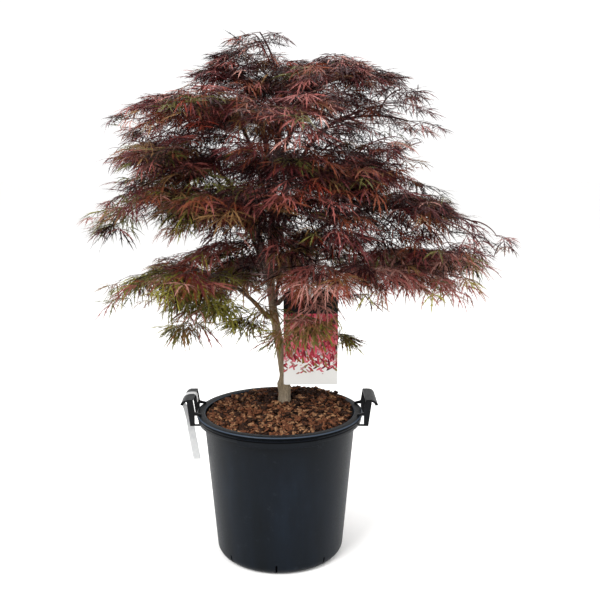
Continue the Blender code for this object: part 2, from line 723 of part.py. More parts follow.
class Mass:
    """The closed shells of one mass: its stem first, then the sprays that found room."""

    def __init__(self, stem, cell, limbs):
        self.chance = random.Random(stem["name"])
        self.line = stem["line"]
        self.upright = stem["tier"] == "top"
        self.leaf_length = LEAF_LENGTH * (TOP_LEAF_SHARE if self.upright else 1.0)
        self.cell = cell
        self.limbs = limbs
        self.shells = []
        self.trees = []
        self.add_stem(stem["facing"])

    def add_stem(self, facing):
        azimuth = azimuth_of(self.line[-1] - self.line[-2])
        droop = self.angle(DROOPS["stem"])
        sizes = self.leaf_length * np.linspace(1.0, 0.3, 9)
        shape = (self.line, STEM_RADII, azimuth)
        tries = [(size, droop, self.cell) for size in sizes] + [(sizes[-1], droop, NO_WALLS)]
        leaves = (spray_shell(*shape, *fit, facing) for fit in tries)
        shell = next(leaf for leaf in leaves if leaf is not None)
        self.shells.append(shell)
        self.trees.append(search_tree(shell))

    def share(self, ends):
        return self.chance.uniform(*ends)

    def angle(self, degrees):
        return math.radians(self.chance.uniform(*degrees))

    def add_spray(self, root, azimuth, length, slopes, bend, size, droop, steps):
        """Adds a twig with its leaf if it stays in the cell and touches nothing. True ends the tries."""
        if len(self.shells) >= MOST_SPRAYS:
            return True
        line = arching(root, azimuth, length, *slopes, bend, steps)
        kept = min(share_inside(root, point, self.cell) for point in line[1:])
        if kept < SHORTEST_TWIG:
            return False
        if kept < 1:
            line = arching(root, azimuth, length * kept * 0.9, *slopes, bend, steps)
        shell = spray_shell(line, TWIG_RADII, azimuth + bend, size, droop, self.cell)
        if shell is None:
            return False
        samples = samples_of(shell, len(line))
        tree = search_tree(shell)
        touching = any(tree.overlap(other) for other in self.trees)
        if touching or not clear_of_limbs(samples, self.limbs) or not clear_of_tag(samples):
            return False
        self.shells.append(shell)
        self.trees.append(tree)
        return True

    def grow_pair(self, station):
        """A twig to each side of the stem, longer near its root. Up the top stem the pairs turn."""
        root = point_on(self.line, station)
        flow = azimuth_of(point_on(self.line, station + 0.1) - point_on(self.line, station - 0.1))
        for side in (-1, 1):
            for trial in range(TRIALS):
                turn = side * self.angle(SIDE_TWIG["turn"])
                if self.upright:
                    turn += math.pi * (side / 6 + 3 * station)
                length = TWIG_LENGTH * (1.3 - 0.6 * station) * self.share(SIDE_TWIG["length"])
                slopes = self.angle(SIDE_TWIG["rise"]), self.angle(SIDE_TWIG["fall"])
                bend = -side * self.angle(SIDE_TWIG["bend"])
                size = self.leaf_length * (self.share(SIDE_TWIG["leaf"]) - TRIAL_SHRINK * trial)
                droop = self.angle(DROOPS["twig"])
                if self.add_spray(root, flow + turn, length, slopes, bend, size, droop, TWIG_STEPS):
                    break

    def grow_shoot(self, station, way_up):
        """A short shoot with its leaf, above the stem where way_up is 1 and below it where it is -1."""
        root = point_on(self.line, station)
        flow = azimuth_of(self.line[-1] - self.line[0])
        for trial in range(TRIALS):
            azimuth = flow + self.angle(SHOOT["turn"])
            rise = way_up * self.angle(SHOOT["rise"])
            length = SHOOT_LENGTH * self.share(SHOOT["length"])
            size = self.leaf_length * (self.share(SHOOT["leaf"]) - TRIAL_SHRINK * trial)
            droop = self.angle(DROOPS["shoot" if way_up > 0 else "hanger"])
            if self.add_spray(root, azimuth, length, (rise, rise), 0.0, size, droop, 1):
                break


def leaf_finish(stem, finishes):
    """Green low on the left, bronze beside it, and wine red elsewhere."""
    left = -math.cos(stem["azimuth"])
    if stem["tier"] == "skirt" and left > 0.3:
        return finishes["green"]
    if stem["tier"] in ("skirt", "lower") and left > -0.2:
        return finishes["bronze"]
    return finishes["wine"]


def make_crown(finishes):
    boughs, stems = grow_limbs()
    heights = np.linspace(TRUNK_FOOT[2], TRUNK_TOP, TRUNK_STEPS)
    trunk = np.array([trunk_axis(height) for height in heights])
    limbs = spans(trunk, [trunk_radius(height) for height in heights])
    for bough in boughs:
        radii = np.linspace(*BOUGH_RADII, len(bough["line"]))
        round_limb(bough["name"], bough["line"], radii, finishes["bark"])
        limbs += spans(bough["line"], radii)
    cells = cell_planes(stems)
    for stem, cell in zip(stems, cells):
        others = [span for other in stems if other is not stem for span in spans(other["line"], STEM_RADII)]
        mass = Mass(stem, cell, limbs + others)
        for station in TWIG_STATIONS:
            mass.grow_pair(station)
        for station in SHOOT_STATIONS:
            mass.grow_shoot(station, 1)
        for station in HANGER_STATIONS:
            mass.grow_shoot(station, -1)
        meshes = [mesh_of(stem["name"], *shell) for shell in mass.shells]
        finish_of_mass = leaf_finish(stem, finishes)
        add_object(stem["name"], join(stem["name"], meshes, finish_of_mass), finish_of_mass)
    return boughs


# ---------------------------------------------------------------- tag and label
def make_tag(finishes, boughs):
    """The picture tag and its strap, which hangs over the front right bough of the skirt."""
    x, y, low = TAG_FOOT
    high = low + TAG_HEIGHT
    half = TAG_WIDTH / 2 - TAG_CORNER
    corners = ((x + half, high, 0), (x - half, high, 90), (x - half, low, 180), (x + half, low, 270))
    outline = []
    for corner_x, corner_z, start in corners:
        middle = (corner_x, corner_z - math.copysign(TAG_CORNER, corner_z - (low + high) / 2))
        outline += arc(middle, TAG_CORNER, (start, start + 45, start + 90))
    card = plate("plant_tag", outline, y - TAG_THICKNESS / 2, y + TAG_THICKNESS / 2)
    add_object("plant_tag", card, finishes["tag"])

    bough = next(b["line"] for b in boughs if b["name"] == "bough_skirt_2")
    over = np.array([np.interp(x, bough[:, 0], bough[:, k]) for k in range(3)])
    over[2] += BOUGH_RADII[0] + STRAP_SLACK - STRAP_LOOP_RADIUS
    stand = TAG_THICKNESS / 2 + GAP + STRAP_THICKNESS / 2
    path = [(y - stand, high - STRAP_LAP), (y - stand, high + 0.001)]
    path += arc(over[1:], STRAP_LOOP_RADIUS, (180, 150, 120, 90, 60, 30, 0))
    path += [(y + stand, high + 0.001), (y + stand, high - STRAP_LAP)]
    centres = [(x, path_y, path_z) for path_y, path_z in path]
    band("tag_strap", centres, [(1, 0, 0)] * len(path), STRAP_WIDTH, STRAP_THICKNESS, finishes["label"])


def make_label(finishes):
    """The white strip: over the left grip, then hanging outside the pot and turning to face the front."""
    inner, outer = LEG_SIDES[1]
    curl = arc((outer, HANDLE_TOP - GRIP_BEND), GRIP_BEND + LABEL_STAND, (90, 65, 40, 15))
    route = [(inner + out, HANDLE_TOP - drop, twist) for out, drop, twist in LABEL_START]
    route += [(across, height, 0) for across, height in curl]
    route += [(inner + out, HANDLE_TOP - drop, twist) for out, drop, twist in LABEL_HANG]
    centres = [(-across, LABEL_PLACE, height) for across, height, twist in route]
    widthways = [(math.sin(math.radians(twist)), math.cos(math.radians(twist)), 0) for _, _, twist in route]
    band("strip_label", centres, widthways, LABEL_WIDTH, LABEL_THICKNESS, finishes["label"])


# ---------------------------------------------------------------- the whole plant
def main():
    for piece in list(bpy.data.objects):
        bpy.data.objects.remove(piece)
    finishes = make_finishes()
    make_pot(finishes)
    make_handles(finishes)
    make_mulch(finishes)
    make_trunk(finishes)
    boughs = make_crown(finishes)
    make_tag(finishes, boughs)
    make_label(finishes)


main()
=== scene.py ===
import math
import random

import bmesh
import bpy
import numpy as np
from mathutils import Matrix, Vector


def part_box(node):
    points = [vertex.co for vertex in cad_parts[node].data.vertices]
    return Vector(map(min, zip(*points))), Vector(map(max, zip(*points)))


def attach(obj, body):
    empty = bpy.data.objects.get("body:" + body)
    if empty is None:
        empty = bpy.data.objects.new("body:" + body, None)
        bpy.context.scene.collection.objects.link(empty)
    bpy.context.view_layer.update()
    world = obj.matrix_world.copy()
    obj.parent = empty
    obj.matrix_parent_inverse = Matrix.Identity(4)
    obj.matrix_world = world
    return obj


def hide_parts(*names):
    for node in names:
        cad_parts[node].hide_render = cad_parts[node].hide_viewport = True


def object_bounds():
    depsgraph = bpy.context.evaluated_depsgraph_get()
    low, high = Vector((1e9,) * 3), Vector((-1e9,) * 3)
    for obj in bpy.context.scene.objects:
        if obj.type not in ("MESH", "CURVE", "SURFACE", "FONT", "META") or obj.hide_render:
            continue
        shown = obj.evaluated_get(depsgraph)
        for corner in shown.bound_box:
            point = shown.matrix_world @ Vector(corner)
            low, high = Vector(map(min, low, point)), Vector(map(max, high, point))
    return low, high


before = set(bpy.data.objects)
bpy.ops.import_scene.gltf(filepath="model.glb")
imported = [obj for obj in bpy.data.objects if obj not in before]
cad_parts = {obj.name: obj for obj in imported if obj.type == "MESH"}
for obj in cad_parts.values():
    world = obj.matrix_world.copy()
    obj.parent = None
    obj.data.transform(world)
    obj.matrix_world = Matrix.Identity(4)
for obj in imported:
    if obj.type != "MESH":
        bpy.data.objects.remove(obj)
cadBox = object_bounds()
print("frame loaded:", len(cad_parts), "solids")

# Metres, +Z up, -Y is the front. The origin is the middle of the pot's underside.


def hexLinear(code):
    # hex pairs over 255, then ((c + 0.055) / 1.055) ^ 2.4 above 0.04045 and c / 12.92 below it
    parts = np.array([int(code[i:i + 2], 16) for i in (1, 3, 5)]) / 255
    linear = np.where(parts > 0.04045, ((parts + 0.055) / 1.055) ** 2.4, parts / 12.92)
    return (*linear.tolist(), 1.0)


# the output that a link takes, where it isn't a node's first one
usualOutputs = {"TEX_COORD": "Object", "MIX": "Result"}


def startMaterial(name):
    # an empty material, and the node that gives its patterns their place on the object
    material = bpy.data.materials.new(name)
    material.use_nodes = True
    material.node_tree.nodes.clear()
    return material, addNode(material, "TexCoord")


def addNode(material, kind, inputs=None, stops=(), **properties):
    # inputs: name to a value, hex colour, node or (node, output); stops: a ramp's (place, hex colour) pairs
    tree = material.node_tree
    node = tree.nodes.new("ShaderNode" + kind)
    for key, value in properties.items():
        setattr(node, key, value)
    for key, value in (inputs or {}).items():
        if isinstance(value, bpy.types.Node):
            value = (value, usualOutputs.get(value.type, 0))
        if isinstance(value, tuple) and isinstance(value[0], bpy.types.Node):
            tree.links.new(value[0].outputs[value[1]], node.inputs[key])
        else:
            node.inputs[key].default_value = hexLinear(value) if isinstance(value, str) else value
    for number, (place, code) in enumerate(stops):
        ramp = node.color_ramp.elements
        stop = ramp[number] if number < len(ramp) else ramp.new(place)
        stop.position = place
        stop.color = hexLinear(code)
    return node


def newPiece(name, points, groups, material, smooth=True, slot=None, nodes=()):
    # points is (n, 3); each group is a whole array of faces with the same number of corners
    corners = np.concatenate([group.ravel() for group in groups]).astype(np.int32)
    sizes = np.concatenate([np.full(len(group), group.shape[1]) for group in groups])
    mesh = bpy.data.meshes.new(name)
    mesh.vertices.add(len(points))
    mesh.vertices.foreach_set("co", np.asarray(points, np.float32).ravel())
    mesh.loops.add(len(corners))
    mesh.loops.foreach_set("vertex_index", corners)
    mesh.polygons.add(len(sizes))
    mesh.polygons.foreach_set("loop_start", (np.cumsum(sizes) - sizes).astype(np.int32))
    mesh.update(calc_edges=True)
    mesh.validate()
    if smooth:
        mesh.shade_smooth()
    mesh.materials.append(material)
    piece = bpy.data.objects.new(name, mesh)
    bpy.context.scene.collection.objects.link(piece)
    if slot:
        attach(piece, "root")
    if nodes:
        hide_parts(*nodes)
    return piece


def closeMesh(piece, sharpAngle=40):
    # merges the doubled points of seams and poles and turns every face outwards
    shape = bmesh.new()
    shape.from_mesh(piece.data)
    bmesh.ops.remove_doubles(shape, verts=shape.verts, dist=0.00001)
    bmesh.ops.recalc_face_normals(shape, faces=shape.faces)
    shape.to_mesh(piece.data)
    shape.free()
    piece.data.shade_smooth()
    piece.data.set_sharp_from_angle(angle=math.radians(sharpAngle))
    return piece


def gridQuads(rows, columns, wrap):
    # quads between each row and the next; the last column joins the first where wrap is true
    row = np.arange(rows - 1)[:, None] * columns
    here = np.arange(columns if wrap else columns - 1)[None, :]
    low, after = row + here, row + (here + 1) % columns
    return np.stack((low, after, after + columns, low + columns), axis=-1).reshape(-1, 4)


def copies(faces, count, size):
    # the same faces for each of many like shapes of size points
    return (faces + np.arange(count)[:, None, None] * size).reshape(-1, faces.shape[1])


def gathered(shapes):
    # (points, quads, caps) shapes as one piece's points and groups of faces
    points, quads, caps = zip(*shapes)
    starts = np.cumsum([0] + [len(some) for some in points])
    quads = [faces + start for faces, start in zip(quads, starts)]
    caps = [faces + start for faces, start in zip(caps, starts)]
    return np.concatenate(points), [np.concatenate(quads), *caps]


def xyz(x, y, z):
    # points from three coordinates, each an array or one number for all
    return np.stack(np.broadcast_arrays(x, y, z), axis=-1)


def lathe(profile, columns):
    # point(i, j) = (r[i] cos turn[j], r[i] sin turn[j], z[i])
    turn = np.linspace(0, 2 * np.pi, columns, endpoint=False)
    radius, height = profile[:, :1], profile[:, 1:]
    points = xyz(radius * np.cos(turn), radius * np.sin(turn), height)
    return points.reshape(-1, 3), gridQuads(len(profile), columns, True)


def arc(centreX, centreZ, radius, degrees):
    # points of a circle at the given turns
    turns = np.radians(degrees)
    return np.stack((centreX + radius * np.cos(turns), centreZ + radius * np.sin(turns)), axis=-1)


def unit(vectors):
    vectors = np.asarray(vectors, float)
    return vectors / np.maximum(np.linalg.norm(vectors, axis=-1, keepdims=True), 1e-12)


def ease(share):
    # 3 s^2 - 2 s^3 between 0 and 1
    share = np.clip(share, 0, 1)
    return share * share * (3 - 2 * share)


def easedBetween(ends, value):
    return ease((value - ends[0]) / (ends[1] - ends[0]))


def heading(azimuth):
    return xyz(np.cos(azimuth), np.sin(azimuth), 0.0)


def waves(position, seed, count=24, finest=400.0, span=16):
    # a smooth pattern in -1..1: the mean of sines along seeded directions, each finer one weaker
    source = np.random.default_rng(seed)
    scales = np.geomspace(finest / span, finest, count)
    ways = unit(source.normal(size=(count, 3))) * scales[:, None]
    weights = scales ** -0.5
    total = np.sin(position @ ways.T + source.uniform(0, 2 * np.pi, count)) @ weights
    return total / np.sqrt((weights ** 2).sum())


def bump(position, centre, radius):
    # exp of minus the squared distance over the squared radius
    return np.exp(-(((position - np.array(centre)) / np.array(radius)) ** 2).sum(axis=-1))


def tubes(paths, radii, sides):
    # circles carried along paths, with a pole at each end: path + r (cos turn across + sin turn up)
    # paths is (limb, step, 3) and radii is (limb, step) or (limb, step, side)
    count, steps = paths.shape[:2]
    ways = unit(np.gradient(paths, axis=1))
    upright = np.abs(ways[:, :, 2]).mean(axis=1) > 0.75
    reference = np.where(upright[:, None], (0.0, 1.0, 0.0), (0.0, 0.0, 1.0))[:, None, :]
    across = unit(np.cross(ways, reference))
    up = np.cross(across, ways)
    turn = np.linspace(0, 2 * np.pi, sides, endpoint=False)[:, None]
    radii = radii if radii.ndim == 3 else np.repeat(radii[:, :, None], sides, axis=2)
    spokes = across[:, :, None, :] * np.cos(turn) + up[:, :, None, :] * np.sin(turn)
    rings = paths[:, :, None, :] + radii[..., None] * spokes
    low = paths[:, :1] - ways[:, :1] * radii[:, :1, :1] * 0.3
    high = paths[:, -1:] + ways[:, -1:] * radii[:, -1:, :1] * 0.8
    points = np.concatenate((rings.reshape(count, -1, 3), low, high), axis=1)
    size = steps * sides + 2
    here = np.arange(sides)
    after = (here + 1) % sides
    last = (steps - 1) * sides
    foot = np.stack((np.full(sides, size - 2), here, after), axis=1)
    tip = np.stack((np.full(sides, size - 1), last + after, last + here), axis=1)
    quads = copies(gridQuads(steps, sides, True)[:, ::-1], count, size)
    return points.reshape(-1, 3), quads, copies(np.concatenate((foot, tip)), count, size)


view = {"place": (0.049, -1.818, 0.941), "tilt": 80.0, "lens": 46.8, "sensor": 36.0}
lamps = [
    {"name": "keyPanel", "place": (-1.9, -2.6, 3.3), "aim": (0, 0, 0.75), "size": 1.8, "power": 170},
    {"name": "fillPanel", "place": (2.7, -2.0, 1.9), "aim": (0, 0, 0.7), "size": 2.4, "power": 45},
    {"name": "topPanel", "place": (0.3, 0.6, 3.6), "aim": (0, 0, 0.9), "size": 2.6, "power": 90},
]
studio = {
    "floorRadius": 40.0, "floorSides": 96, "floorDrop": 0.0005, "floor": "#f9f8f7",
    "floorMottle": "#f6f6f5", "air": "#ffffff", "airStrength": 1.08,
}


def aimed(piece, place, goal):
    # turns the piece's -Z towards its goal
    piece.location = place
    way = Vector(goal) - Vector(place)
    piece.rotation_euler = way.to_track_quat("-Z", "Y").to_euler()


def makeStage():
    lens = bpy.data.cameras.new("studioCamera")
    lens.lens = view["lens"]
    lens.sensor_width = view["sensor"]
    camera = bpy.data.objects.new("studioCamera", lens)
    camera.location = view["place"]
    camera.rotation_euler = (math.radians(view["tilt"]), 0, 0)
    bpy.context.scene.collection.objects.link(camera)
    bpy.context.scene.camera = camera
    for lamp in lamps:
        light = bpy.data.lights.new(lamp["name"], "AREA")
        light.energy = lamp["power"]
        light.size = lamp["size"]
        panel = bpy.data.objects.new(lamp["name"], light)
        aimed(panel, lamp["place"], lamp["aim"])
        bpy.context.scene.collection.objects.link(panel)
    world = bpy.data.worlds.new("whiteStudio")
    world.use_nodes = True
    air = world.node_tree.nodes["Background"]
    air.inputs["Color"].default_value = hexLinear(studio["air"])
    air.inputs["Strength"].default_value = studio["airStrength"]
    bpy.context.scene.world = world
    bpy.context.scene.view_settings.view_transform = "Standard"

    # matt painted floor: barely mottled, so that it stays quiet under the pot
    paint, place = startMaterial("mattStudioPaint")
    mottle = addNode(paint, "TexNoise", {"Vector": place, "Scale": 6.0, "Detail": 3.0})
    tint = addNode(paint, "ValToRGB", {"Fac": mottle}, ((0.3, studio["floorMottle"]), (0.7, studio["floor"])))
    finish = addNode(paint, "BsdfPrincipled", {"Base Color": tint, "Roughness": 0.9})
    addNode(paint, "OutputMaterial", {"Surface": finish})
    turn = np.linspace(0, 2 * np.pi, studio["floorSides"], endpoint=False)
    rim = heading(turn) * studio["floorRadius"] - (0, 0, studio["floorDrop"])
    floor = newPiece("studioFloor", rim, [np.arange(len(turn))[None, :]], paint, smooth=False)


makeStage()
print("stage ready")


# nursery container: metres, and turns in degrees
pot = {
    "height": 0.351, "rimRadius": 0.2000, "rimDepth": 0.021, "bandWall": 0.0045, "wallTop": 0.182,
    "wallFoot": 0.153, "wall": 0.0035, "footEdge": 0.020, "columns": 192, "drains": 8, "drainTurn": -92.0,
    "drainSize": (0.060, 0.0045, 0.021), "drainFoot": 0.004, "skirtTurn": 27.0, "skirtDepth": 0.0050,
    "skirtWall": 0.0030, "skirtRoot": 0.0105, "skirtInset": 0.0018, "skirtSteps": 41, "sharpAngle": 35,
    "rollInside": ((0, 0.006), (0.0006, 0.0025), (0.0022, 0.0006), (0.0045, 0)),
    "rollOutside": ((0.0050, 0.0001), (0.0022, 0.0007), (0.0006, 0.0022), (0, 0.0042), (0.0003, 0.0066),
                    (0.0014, 0.0084), (0.0030, 0.0092)),
    "bandFoot": ((0.0032, 0.0012), (0.0038, 0.0002), (0.0048, 0)),
    # the hollow behind the band: how far in, its heights above the band's foot, the ledge and its lower edge
    "hollow": (0.0022, 0.0006, 0.0045, 0.0015, 0.0030),
}


def potWall(height):
    # straight taper from the foot to the rim
    return pot["wallFoot"] + (pot["wallTop"] - pot["wallFoot"]) * height / (pot["height"] - pot["rimDepth"])


def makePotPlastic():
    # black recycled polypropylene, injection moulded: dull grain and soft grey scuffs on a bluish black, a
    # faint sheen, painted shade under the rim and a painted bluish highlight line on the roll
    plastic, place = startMaterial("mouldedPolypropylene")
    flow = addNode(plastic, "Mapping", {"Vector": place, "Scale": (9.0, 9.0, 2.2)})
    streaks = addNode(plastic, "TexNoise", {"Vector": flow, "Scale": 1.6, "Detail": 5.0, "Roughness": 0.6})
    body = addNode(plastic, "ValToRGB", {"Fac": streaks}, (
        (0.32, "#050a0f"), (0.55, "#091018"), (0.78, "#101923")))
    height = (addNode(plastic, "SeparateXYZ", {"Vector": place}), "Z")
    # painted shade: the wall darkens towards the rim, standing in for the shade under its overhang
    underRimShade = addNode(plastic, "MapRange", {"Value": height, "From Min": 0.20, "From Max": 0.33, "To Max": 0.8})
    wall = addNode(plastic, "Mix", {"Factor": underRimShade, "A": body, "B": "#04070c"}, data_type="RGBA")
    # painted light and shade on the roll, by height: a pale bluish line for the highlight on its upper edge
    # and near-black bands for the shade in the groove under it; the gloss ramp follows the same heights
    roll = addNode(plastic, "MapRange", {"Value": height, "From Min": 0.3360, "From Max": 0.3512})
    lines = addNode(plastic, "ValToRGB", {"Fac": roll}, (
        (0.0, "#020304"), (0.20, "#010102"), (0.28, "#10141a"), (0.40, "#0a0d12"), (0.50, "#030406"),
        (0.78, "#030406"), (0.86, "#333c48"), (0.94, "#3a4450"), (0.97, "#0a0c0f")))
    gloss = addNode(plastic, "ValToRGB", {"Fac": roll}, (
        (0.0, "#5a5a5a"), (0.10, "#2a2a2a"), (0.24, "#2a2a2a"), (0.30, "#4a4a4a"), (0.50, "#2a2a2a"),
        (0.78, "#2a2a2a"), (0.86, "#707070"), (0.97, "#4a4a4a")))
    edge = addNode(plastic, "MapRange", {"Value": height, "From Min": 0.3355, "From Max": 0.3365})
    rimmed = addNode(plastic, "Mix", {"Factor": edge, "A": wall, "B": lines}, data_type="RGBA")
    # grain of the mould, really about 0.5 mm, drawn at 2.5 mm so that it shows
    grain = addNode(plastic, "TexNoise", {"Vector": place, "Scale": 400.0, "Detail": 2.0})
    scuffs = addNode(plastic, "TexNoise", {"Vector": place, "Scale": 38.0, "Detail": 8.0, "Roughness": 0.75})
    worn = addNode(plastic, "MapRange", {"Value": scuffs, "From Min": 0.60, "From Max": 0.74, "To Max": 0.22})
    scuffed = addNode(plastic, "Mix", {"Factor": worn, "A": rimmed, "B": "#3a4148"}, data_type="RGBA")
    finish = addNode(plastic, "BsdfPrincipled", {
        "Base Color": scuffed,
        "Roughness": addNode(plastic, "MapRange", {
            "Value": grain, "From Min": 0.3, "From Max": 0.7, "To Min": 0.34, "To Max": 0.50}),
        "Normal": addNode(plastic, "Bump", {"Height": grain, "Strength": 0.10, "Distance": 0.0006}),
        "IOR": 1.49, "Specular IOR Level": gloss})
    addNode(plastic, "OutputMaterial", {"Surface": finish})
    return plastic


def potProfile():
    # floor, inside wall, rolled rim with its hanging band, then down the outside to the rounded foot
    top, wall, band, corner = pot["height"], pot["wall"], pot["rimRadius"], pot["footEdge"]
    foot = top - pot["rimDepth"]
    edge = potWall(corner)
    behind, low, high, ledge, edgeRise = pot["hollow"]
    inner, under = pot["wallTop"] - wall, band - pot["bandWall"] - behind
    line = [(0, wall), (edge - corner, wall), (edge - wall - 0.006, 0.008), (edge - wall, corner)]
    line += [(potWall(h) - wall, h) for h in np.linspace(0.05, foot - 0.01, 6)]
    # the roll, as steps out from the inside wall and in from the band
    line += [(inner + out, top - drop) for out, drop in pot["rollInside"]]
    line += [(band - back, top - drop) for back, drop in pot["rollOutside"]]
    line += [(band - back, foot + rise) for back, rise in pot["bandFoot"]]
    line += [(under, foot + low), (under, foot + high), (pot["wallTop"] + ledge, foot + high),
             (pot["wallTop"], foot + edgeRise)]
    line += [(potWall(h), h) for h in np.linspace(foot - 0.004, 0.032, 12)]
    return np.array([*line, *arc(edge - corner, corner, corner, np.linspace(0, -90, 9)), (0, 0)])


def cutDrains(piece):
    # eight upright slots through the rounded foot, cut by thin blocks that are then deleted
    for number in range(pot["drains"]):
        turn = math.radians(pot["drainTurn"]) + 2 * math.pi * number / pot["drains"]
        shape = bmesh.new()
        bmesh.ops.create_cube(shape, size=1.0)
        block = bpy.data.meshes.new("drainBlock")
        shape.to_mesh(block)
        shape.free()
        cutter = bpy.data.objects.new("drainBlock", block)
        cutter.scale = pot["drainSize"]
        cutter.rotation_euler = (0, 0, turn)
        cutter.location = (*(pot["wallFoot"] * heading(turn))[:2], pot["drainFoot"] + pot["drainSize"][2] / 2)
        bpy.context.scene.collection.objects.link(cutter)
        cut = piece.modifiers.new("drain", "BOOLEAN")
        cut.operation = "DIFFERENCE"
        cut.object = cutter
        graph = bpy.context.evaluated_depsgraph_get()
        done = bpy.data.meshes.new_from_object(piece.evaluated_get(graph))
        piece.modifiers.clear()
        piece.data = done
        bpy.data.objects.remove(cutter)
        bpy.data.meshes.remove(block)
    piece.data.name = piece.name


def makePot():
    plastic = makePotPlastic()
    points, quads = lathe(potProfile(), pot["columns"])
    body = newPiece("nurseryPot", points, [quads], plastic, slot="pot_plastic", nodes=("pot",))
    closeMesh(body, pot["sharpAngle"])
    cutDrains(body)
    body.data.set_sharp_from_angle(angle=math.radians(pot["sharpAngle"]))

    # the deeper stretch of skirt under the rim, front and back: a section carried round part of the circle
    foot, outer = pot["height"] - pot["rimDepth"], pot["rimRadius"] - pot["skirtInset"]
    root, hem, inner = foot + pot["skirtRoot"], foot - pot["skirtDepth"], outer - pot["skirtWall"]
    section = np.array([(outer, root), (outer - 0.0003, hem), (outer - 0.0012, hem - 0.0006), (inner, hem),
                        (inner, root)])
    steps, corners = pot["skirtSteps"], len(section)
    for name, middle in (("frontSkirt", -90), ("backSkirt", 90)):
        turn = np.radians(np.linspace(middle - pot["skirtTurn"], middle + pot["skirtTurn"], steps))[:, None]
        points = xyz(section[:, 0] * np.cos(turn), section[:, 0] * np.sin(turn), section[:, 1])
        first = np.arange(corners)
        ends = np.array([first, (steps - 1) * corners + first[::-1]])
        quads = gridQuads(steps, corners, True)
        closeMesh(newPiece(name, points.reshape(-1, 3), [quads, ends], plastic, slot="pot_plastic"), 30)


makePot()
print("pot ready")


# clip handle, as (x, z) steps on the right side of the pot
handle = {
    "span": 0.102, "top": 0.389, "leg": 0.006, "foot": 0.326,
    "sides": ((0.1955, 0.2110), (0.2040, 0.2190)), "hookEnd": 0.184, "hook": 0.004, "bend": 0.015,
    "turn": 78, "thickness": 0.0032, "lip": 0.004, "bevel": 0.0007, "clear": 0.0003,
    "nook": 0.0047, "heel": 0.004, "overlap": 0.0005,
}


def extruded(outline, low, high):
    # the outline of (x, z) at two values of y, with quads between and a face at each end
    outline = np.asarray(outline, float)
    first = np.arange(len(outline))
    sides = [xyz(outline[:, 0], y, outline[:, 1]) for y in (low, high)]
    return np.concatenate(sides), gridQuads(2, len(first), True), np.array([first[::-1], len(first) + first])


def makeClipPlastic():
    # glossy black polypropylene: cleaner and darker than the pot
    plastic, place = startMaterial("mouldedClipPolypropylene")
    grain = addNode(plastic, "TexNoise", {"Vector": place, "Scale": 300.0, "Detail": 3.0})
    dust = addNode(plastic, "TexNoise", {"Vector": place, "Scale": 45.0, "Detail": 6.0})
    finish = addNode(plastic, "BsdfPrincipled", {
        "Base Color": addNode(plastic, "ValToRGB", {"Fac": dust}, (
            (0.35, "#040507"), (0.60, "#08090c"), (0.80, "#121418"))),
        "Roughness": addNode(plastic, "MapRange", {
            "Value": grain, "From Min": 0.3, "From Max": 0.7, "To Min": 0.30, "To Max": 0.46}),
        "Normal": addNode(plastic, "Bump", {"Height": grain, "Strength": 0.08, "Distance": 0.0005}),
        "IOR": 1.49, "Specular IOR Level": 0.10})
    addNode(plastic, "OutputMaterial", {"Surface": finish})
    return plastic


def makeHandles():
    # two legs hooked round the rim and a curled grip between their tops, with rounded moulded edges
    plastic = makeClipPlastic()
    (footIn, footOut), (topIn, topOut) = handle["sides"]
    over, under = pot["height"] + handle["clear"], pot["height"] - pot["rimDepth"] - handle["clear"]
    top, hook, end, low = handle["top"], pot["height"] + handle["hook"], handle["hookEnd"], handle["foot"]
    nook, heel = footIn + handle["nook"], handle["heel"]
    leg = [(end, under), (end, low), (footOut, low), (topOut, top), (topIn, top),
           (footIn + heel, hook + heel), (end, hook), (end, over), (nook, over), (nook, under)]
    turns = np.linspace(90, 90 - handle["turn"], 12)
    middle = top - handle["bend"]
    upper = arc(topOut, middle, handle["bend"], turns)
    lower = arc(topOut - handle["lip"], middle, handle["bend"] - handle["thickness"], turns[::-1])
    grip = [(topIn, top), *upper, *lower, (topIn, top - handle["thickness"])]
    half, wide = handle["span"] / 2, handle["span"] / 2 + handle["overlap"]
    points, groups = gathered([
        extruded(grip, -wide, wide), extruded(leg, -half, handle["leg"] - half),
        extruded(leg, half - handle["leg"], half)])
    for name, node, side in (("rightClipHandle", "handle_right", 1), ("leftClipHandle", "handle_left", -1)):
        turned = points * (side, side, 1)
        piece = newPiece(name, turned, groups, plastic, slot="handle_plastic", nodes=(node,))
        closeMesh(piece, 30)
        rounding = piece.modifiers.new("rounding", "BEVEL")
        rounding.width = handle["bevel"]
        rounding.segments = 2
        rounding.limit_method = "ANGLE"


makeHandles()
print("handles ready")


# shredded bark: the bed's heap and seat, then the loose chips
mulch = {
    "sink": 0.012, "heap": 0.032, "heapPlace": (0.045, 0.050), "heapSpread": 0.150,
    "seat": (0.011, 0.030, 0.3637), "seatRadius": 0.022, "radius": 0.1773, "depth": 0.06, "rings": 60,
    "columns": 120, "bedDrop": 0.003, "lump": 0.0022, "within": 0.985,
    "finesAndGapShade": ("#2c190f", "#190e08", "#0c0604"), "chips": 2600, "size": (0.0045, 0.0120),
    "widthShare": (0.35, 0.8), "thickShare": (0.12, 0.35), "seed": 5, "tumble": 0.45,
    "sunk": (-0.0045, 0.0022), "trunkRoom": 0.019, "skew": 1.4,
    "pushed": (0.55, 1.0), "pull": 1.15, "shadePatchShare": 0.85, "shadePatchDeal": 0.60,
    "shadePatch": (((-0.015, 0.075), (0.05, 0.06)), ((0.075, 0.085), (0.05, 0.05))),
    # pale, middle and dark colour of each kind of chip, and its share
    "kinds": (("barkChipsRust", ("#8d5f40", "#623b27", "#2f1a10"), 0.42),
              ("barkChipsUmber", ("#513526", "#2d1b12", "#120906"), 0.38),
              ("barkChipsTan", ("#b78f69", "#8d6749", "#503627"), 0.20)),
}


